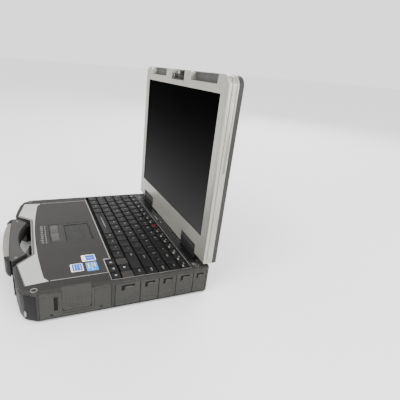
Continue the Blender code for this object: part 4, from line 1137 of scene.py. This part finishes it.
# ------------------------------------------------------------------ base, rear wall
REAR_Y = 264.0
s = Shape()
s.prism(rounded(-44.0, 44.0, 33.6, 38.8, 1.4), (262.0, 264.3), "Y", bevel=0.3)
piece(s, "rear_cable_cover", "base", "dark")
s = Shape()
s.prism(rounded(72.0, 118.0, 6.0, 32.6, 1.2), (263.0, 264.4), "Y", bevel=0.3)
s.prism(rounded(-102.0, -21.0, 6.0, 32.6, 1.2), (263.0, 264.4), "Y", bevel=0.3)
piece(s, "rear_wall_panels", "base", "cover")
s = Shape()
for sg in (-1, 1):
    s.prism(smooth_corners([(sg * 121.5, 5.0), (sg * 144.6, 5.0), (sg * 144.6, 41.5),
                            (sg * 121.5, 41.5)][::sg], 1.5) if sg > 0 else
            smooth_corners([(-121.5, 36.5), (-144.6, 36.5), (-144.6, 41.5), (-121.5, 41.5)], 1.0),
            (263.2, 264.35), "Y", bevel=0.3)
piece(s, "rear_corner_plates", "base", "cover")
s = Shape()
s.screw((134.0, 264.15, 37.2), 2.6, "Y", 1, 0.5)
s.screw((-134.0, 264.15, 38.8), 2.2, "Y", 1, 0.5)
s.screw((76.0, 264.2, 29.6), 1.2, "Y", 1, 0.4)
s.screw((-98.0, 264.2, 9.4), 1.2, "Y", 1, 0.4)
piece(s, "rear_screws", "base", "screw")
s = Shape()
s.prism(rounded(131.0, 137.4, 9.6, 14.0, 1.4), (264.0, 264.42), "Y")
s.prism(rounded(128.0, 130.6, 24.0, 29.6, 0.6), (264.0, 264.42), "Y")
s.prism(rounded(139.6, 142.2, 22.0, 31.0, 0.9), (264.0, 264.42), "Y")
for k in range(7):
    s.prism(rounded(-98.0 + k * 5.0, -95.6 + k * 5.0, 14.0, 28.0, 1.0), (264.1, 264.5), "Y")
s.prism(rounded(84.0, 106.0, 10.0, 10.9, 0.3), (264.1, 264.5), "Y")
piece(s, "rear_slots", "base", "dark")
for node, x0, x1, z0, z1 in (("rear_port_cover_centre", -17.0, 68.0, 7.0, 32.0),
                             ("rear_port_cover_side", -144.0, -106.0, 5.0, 33.0)):
    name = node.replace("cover", "door")
    s = copy_of(node, name)
    a, b = x0 + 5.0, x1 - 5.0
    cut(s, Shape().ring([(a, z0 + 5.0), (b, z0 + 5.0), (b, z1 - 7.4), (b - 6, z1 - 7.4),
                         (b - 9, z1 - 3.4), (a, z1 - 3.4)], 0.9, (263.3, 270), "Y"),
        Shape().box((x0 - 1, x1 + 1), (263.4, 270), (z0 + 2.1, z0 + 2.8)),
        Shape().prism(rounded((a + b) / 2 - 6, (a + b) / 2 + 6, z1 - 2.3, z1 + 2, 0.8),
                      (262.9, 270), "Y"))
    piece(s, name, node, "cover", replaces=(node,))
s = Shape().prism(rounded(-15.2, -11.8, 30.0, 32.6, 0.3, 2), (263.6, 264.4), "Y")
piece(s, "rear_white_mark", "base", "label_white")

# ------------------------------------------------------------------ left side
s = copy_of("optical_drive", "drive_module")
cut(s, Shape().box((-152, -150.4), (70, 112), (9.4, 10.4)),
    Shape().ring(rounded(28.0, 154.0, 8.8, 20.2, 1.0), 0.7, (-152, -150.5), "X"),
    Shape().prism(rounded(136.0, 150.0, 12.4, 17.0, 1.0), (-152, -150.2), "X"))
piece(s, "drive_module", "optical_drive", "cover", replaces=("optical_drive",))
s = Shape().prism(rounded(137.0, 149.0, 13.2, 16.2, 0.8), (-150.9, -150.0), "X", bevel=0.2)
s.prism(rounded(127.0, 130.4, 13.4, 15.6, 0.9), (-150.95, -150.3), "X", bevel=0.15)
piece(s, "drive_module_button", "optical_drive", "pad_button")
for node, y0, y1, z0, z1 in (("hard_drive_cover", 30.0, 110.0, 25.0, 39.0),
                             ("card_slot_cover", 166.0, 226.0, 9.0, 30.0)):
    name = node.replace("cover", "door")
    s = copy_of(node, name)
    m = (y0 + y1) / 2
    cut(s, Shape().prism(rounded(m - 9, m + 9, z1 - 5.4, z1 - 1.6, 1.2), (-152, -149.8), "X"),
        Shape().box((-152, -150.4), (y0 - 1, y1 + 1), (z0 + 2.4, z0 + 3.1)),
        Shape().prism(ribbon([(y0 + 4, z0 + 6.0), (y0 + 4, z1 - 2), (m - 12, z1 - 2)], 0.6),
                      (-152, -150.6), "X"),
        Shape().prism(ribbon([(y1 - 4, z0 + 6.0), (y1 - 4, z1 - 2), (m + 12, z1 - 2)], 0.6),
                      (-152, -150.6), "X"))
    piece(s, name, node, "cover", replaces=(node,))
    s = Shape().prism(rounded(m - 8, m + 8, z1 - 4.8, z1 - 2.4, 0.9), (-150.6, -149.7), "X",
                      bevel=0.2)
    piece(s, name + "_slider", node, "pad_button")
s = Shape()
for k in range(12):
    s.prism(rounded(119.0 + k * 3.4, 121.0 + k * 3.4, 27.0, 38.5, 0.8), (-150.98, -150.6), "X")
for k in range(3):
    s.prism(rounded(232.0 + k * 7, 235.6 + k * 7, 14.0, 17.6, 1.7), (-150.98, -150.6), "X")
s.prism(rounded(14.0 + 8, 20.0 + 6, 10.0, 14.0, 1.0), (-150.98, -150.6), "X")
piece(s, "left_wall_vents", "base", "dark")

# ------------------------------------------------------------------ underside
s = Shape()
for x, y in ((-138, 34), (138, 34), (-138, 150), (138, 150), (-138, 250), (138, 250), (0, 34),
             (0, 250), (-60, 150), (60, 150)):
    s.screw((x, y, 2.0), 2.6, "Z", -1, 0.4)
piece(s, "underside_screws", "base", "screw")
s = Shape()
s.prism(rounded(-44, 60, 40, 112, 4), (1.5, 2.2), bevel=0.3)
s.prism(rounded(-110, -64, 170, 232, 3), (1.5, 2.2), bevel=0.3)
s.prism(rounded(-20, 90, 170, 232, 3), (1.5, 2.2), bevel=0.3)
piece(s, "underside_plates", "base", "cover")
s = Shape()
for k in range(14):
    s.prism(rounded(-100 + k * 5.0, -97.4 + k * 5.0, 124, 142, 1.2), (1.75, 2.1))
s.prism(rounded(10, 70, 118, 144, 6), (1.7, 2.1))
for x0, x1, y0, y1 in ((-44, 60, 40, 112),):
    s.ring(rounded(x0 + 4, x1 - 4, y0 + 4, y1 - 4, 2.0), 0.6, (1.4, 1.6))
piece(s, "underside_vents", "base", "dark")


# ------------------------------------------------------------------ stage, light, camera
def stage():
    bm = bmesh.new()
    bmesh.ops.create_grid(bm, x_segments=1, y_segments=1, size=22.0)
    me = bpy.data.meshes.new("floor")
    bm.to_mesh(me)
    bm.free()
    floor = bpy.data.objects.new("floor", me)
    bpy.context.scene.collection.objects.link(floor)
    n = Nodes("floor_pale")
    n.link(n.mix(n.noise(0.8, 2.0), (0.90, 0.90, 0.90), (0.93, 0.93, 0.93)),
           n.bsdf.inputs["Base Color"])
    n.bsdf.inputs["Roughness"].default_value = 0.9
    n.bsdf.inputs["Specular IOR Level"].default_value = 0.1
    me.materials.append(n.mat)


def lamp(name, at, target, size, power, colour=(1, 1, 1)):
    data = bpy.data.lights.new(name, 'AREA')
    data.shape = 'RECTANGLE'
    data.size, data.size_y = size
    data.energy = power
    data.color = colour
    ob = bpy.data.objects.new(name, data)
    bpy.context.scene.collection.objects.link(ob)
    ob.location = at
    ob.rotation_mode = 'QUATERNION'
    ob.rotation_quaternion = (Vector(target) - Vector(at)).to_track_quat('-Z', 'Y')


def lights():
    world = bpy.data.worlds.new("studio")
    bpy.context.scene.world = world
    world.use_nodes = True
    bg = world.node_tree.nodes["Background"]
    bg.inputs["Color"].default_value = (1.0, 1.0, 1.0, 1.0)
    bg.inputs["Strength"].default_value = 1.75
    lamp("key", (0.7, -1.3, 1.6), (0, 0, 0.12), (1.0, 1.0), 40)
    lamp("side", (1.7, 0.75, 0.75), (0, 0, 0.12), (0.8, 0.9), 30)
    lamp("rim", (-1.2, 1.3, 1.3), (0, 0, 0.15), (1.0, 1.0), 26)


def camera():
    px, py, pz, az, el, roll, f, cx, cy = CAM
    az, el, roll = (math.radians(a) for a in (az, el, roll))
    back = Vector((math.sin(az) * math.cos(el), -math.cos(az) * math.cos(el), math.sin(el)))
    right = (-back).cross(Vector((0, 0, 1))).normalized()
    up = right.cross(-back)
    r2 = math.cos(roll) * right + math.sin(roll) * up
    u2 = -math.sin(roll) * right + math.cos(roll) * up
    data = bpy.data.cameras.new("camera")
    data.sensor_width = 36.0
    data.lens = f / 400.0 * 36.0
    data.shift_x = (200.0 - cx) / 400.0
    data.shift_y = (cy - 200.0) / 400.0
    data.clip_start, data.clip_end = 0.01, 50.0
    data.dof.use_dof = False
    ob = bpy.data.objects.new("camera", data)
    bpy.context.scene.collection.objects.link(ob)
    ob.matrix_world = Matrix((
        (r2.x, u2.x, back.x, px * MM), (r2.y, u2.y, back.y, (py - Y_MID) * MM),
        (r2.z, u2.z, back.z, pz * MM), (0, 0, 0, 1)))
    bpy.context.scene.camera = ob


CAM = (506.9, 26.4, 316.4, 67.5, 22.2, 4.7, 330.7, 160.0, 200.0)
stage()
lights()
camera()

bpy.context.view_layer.update()
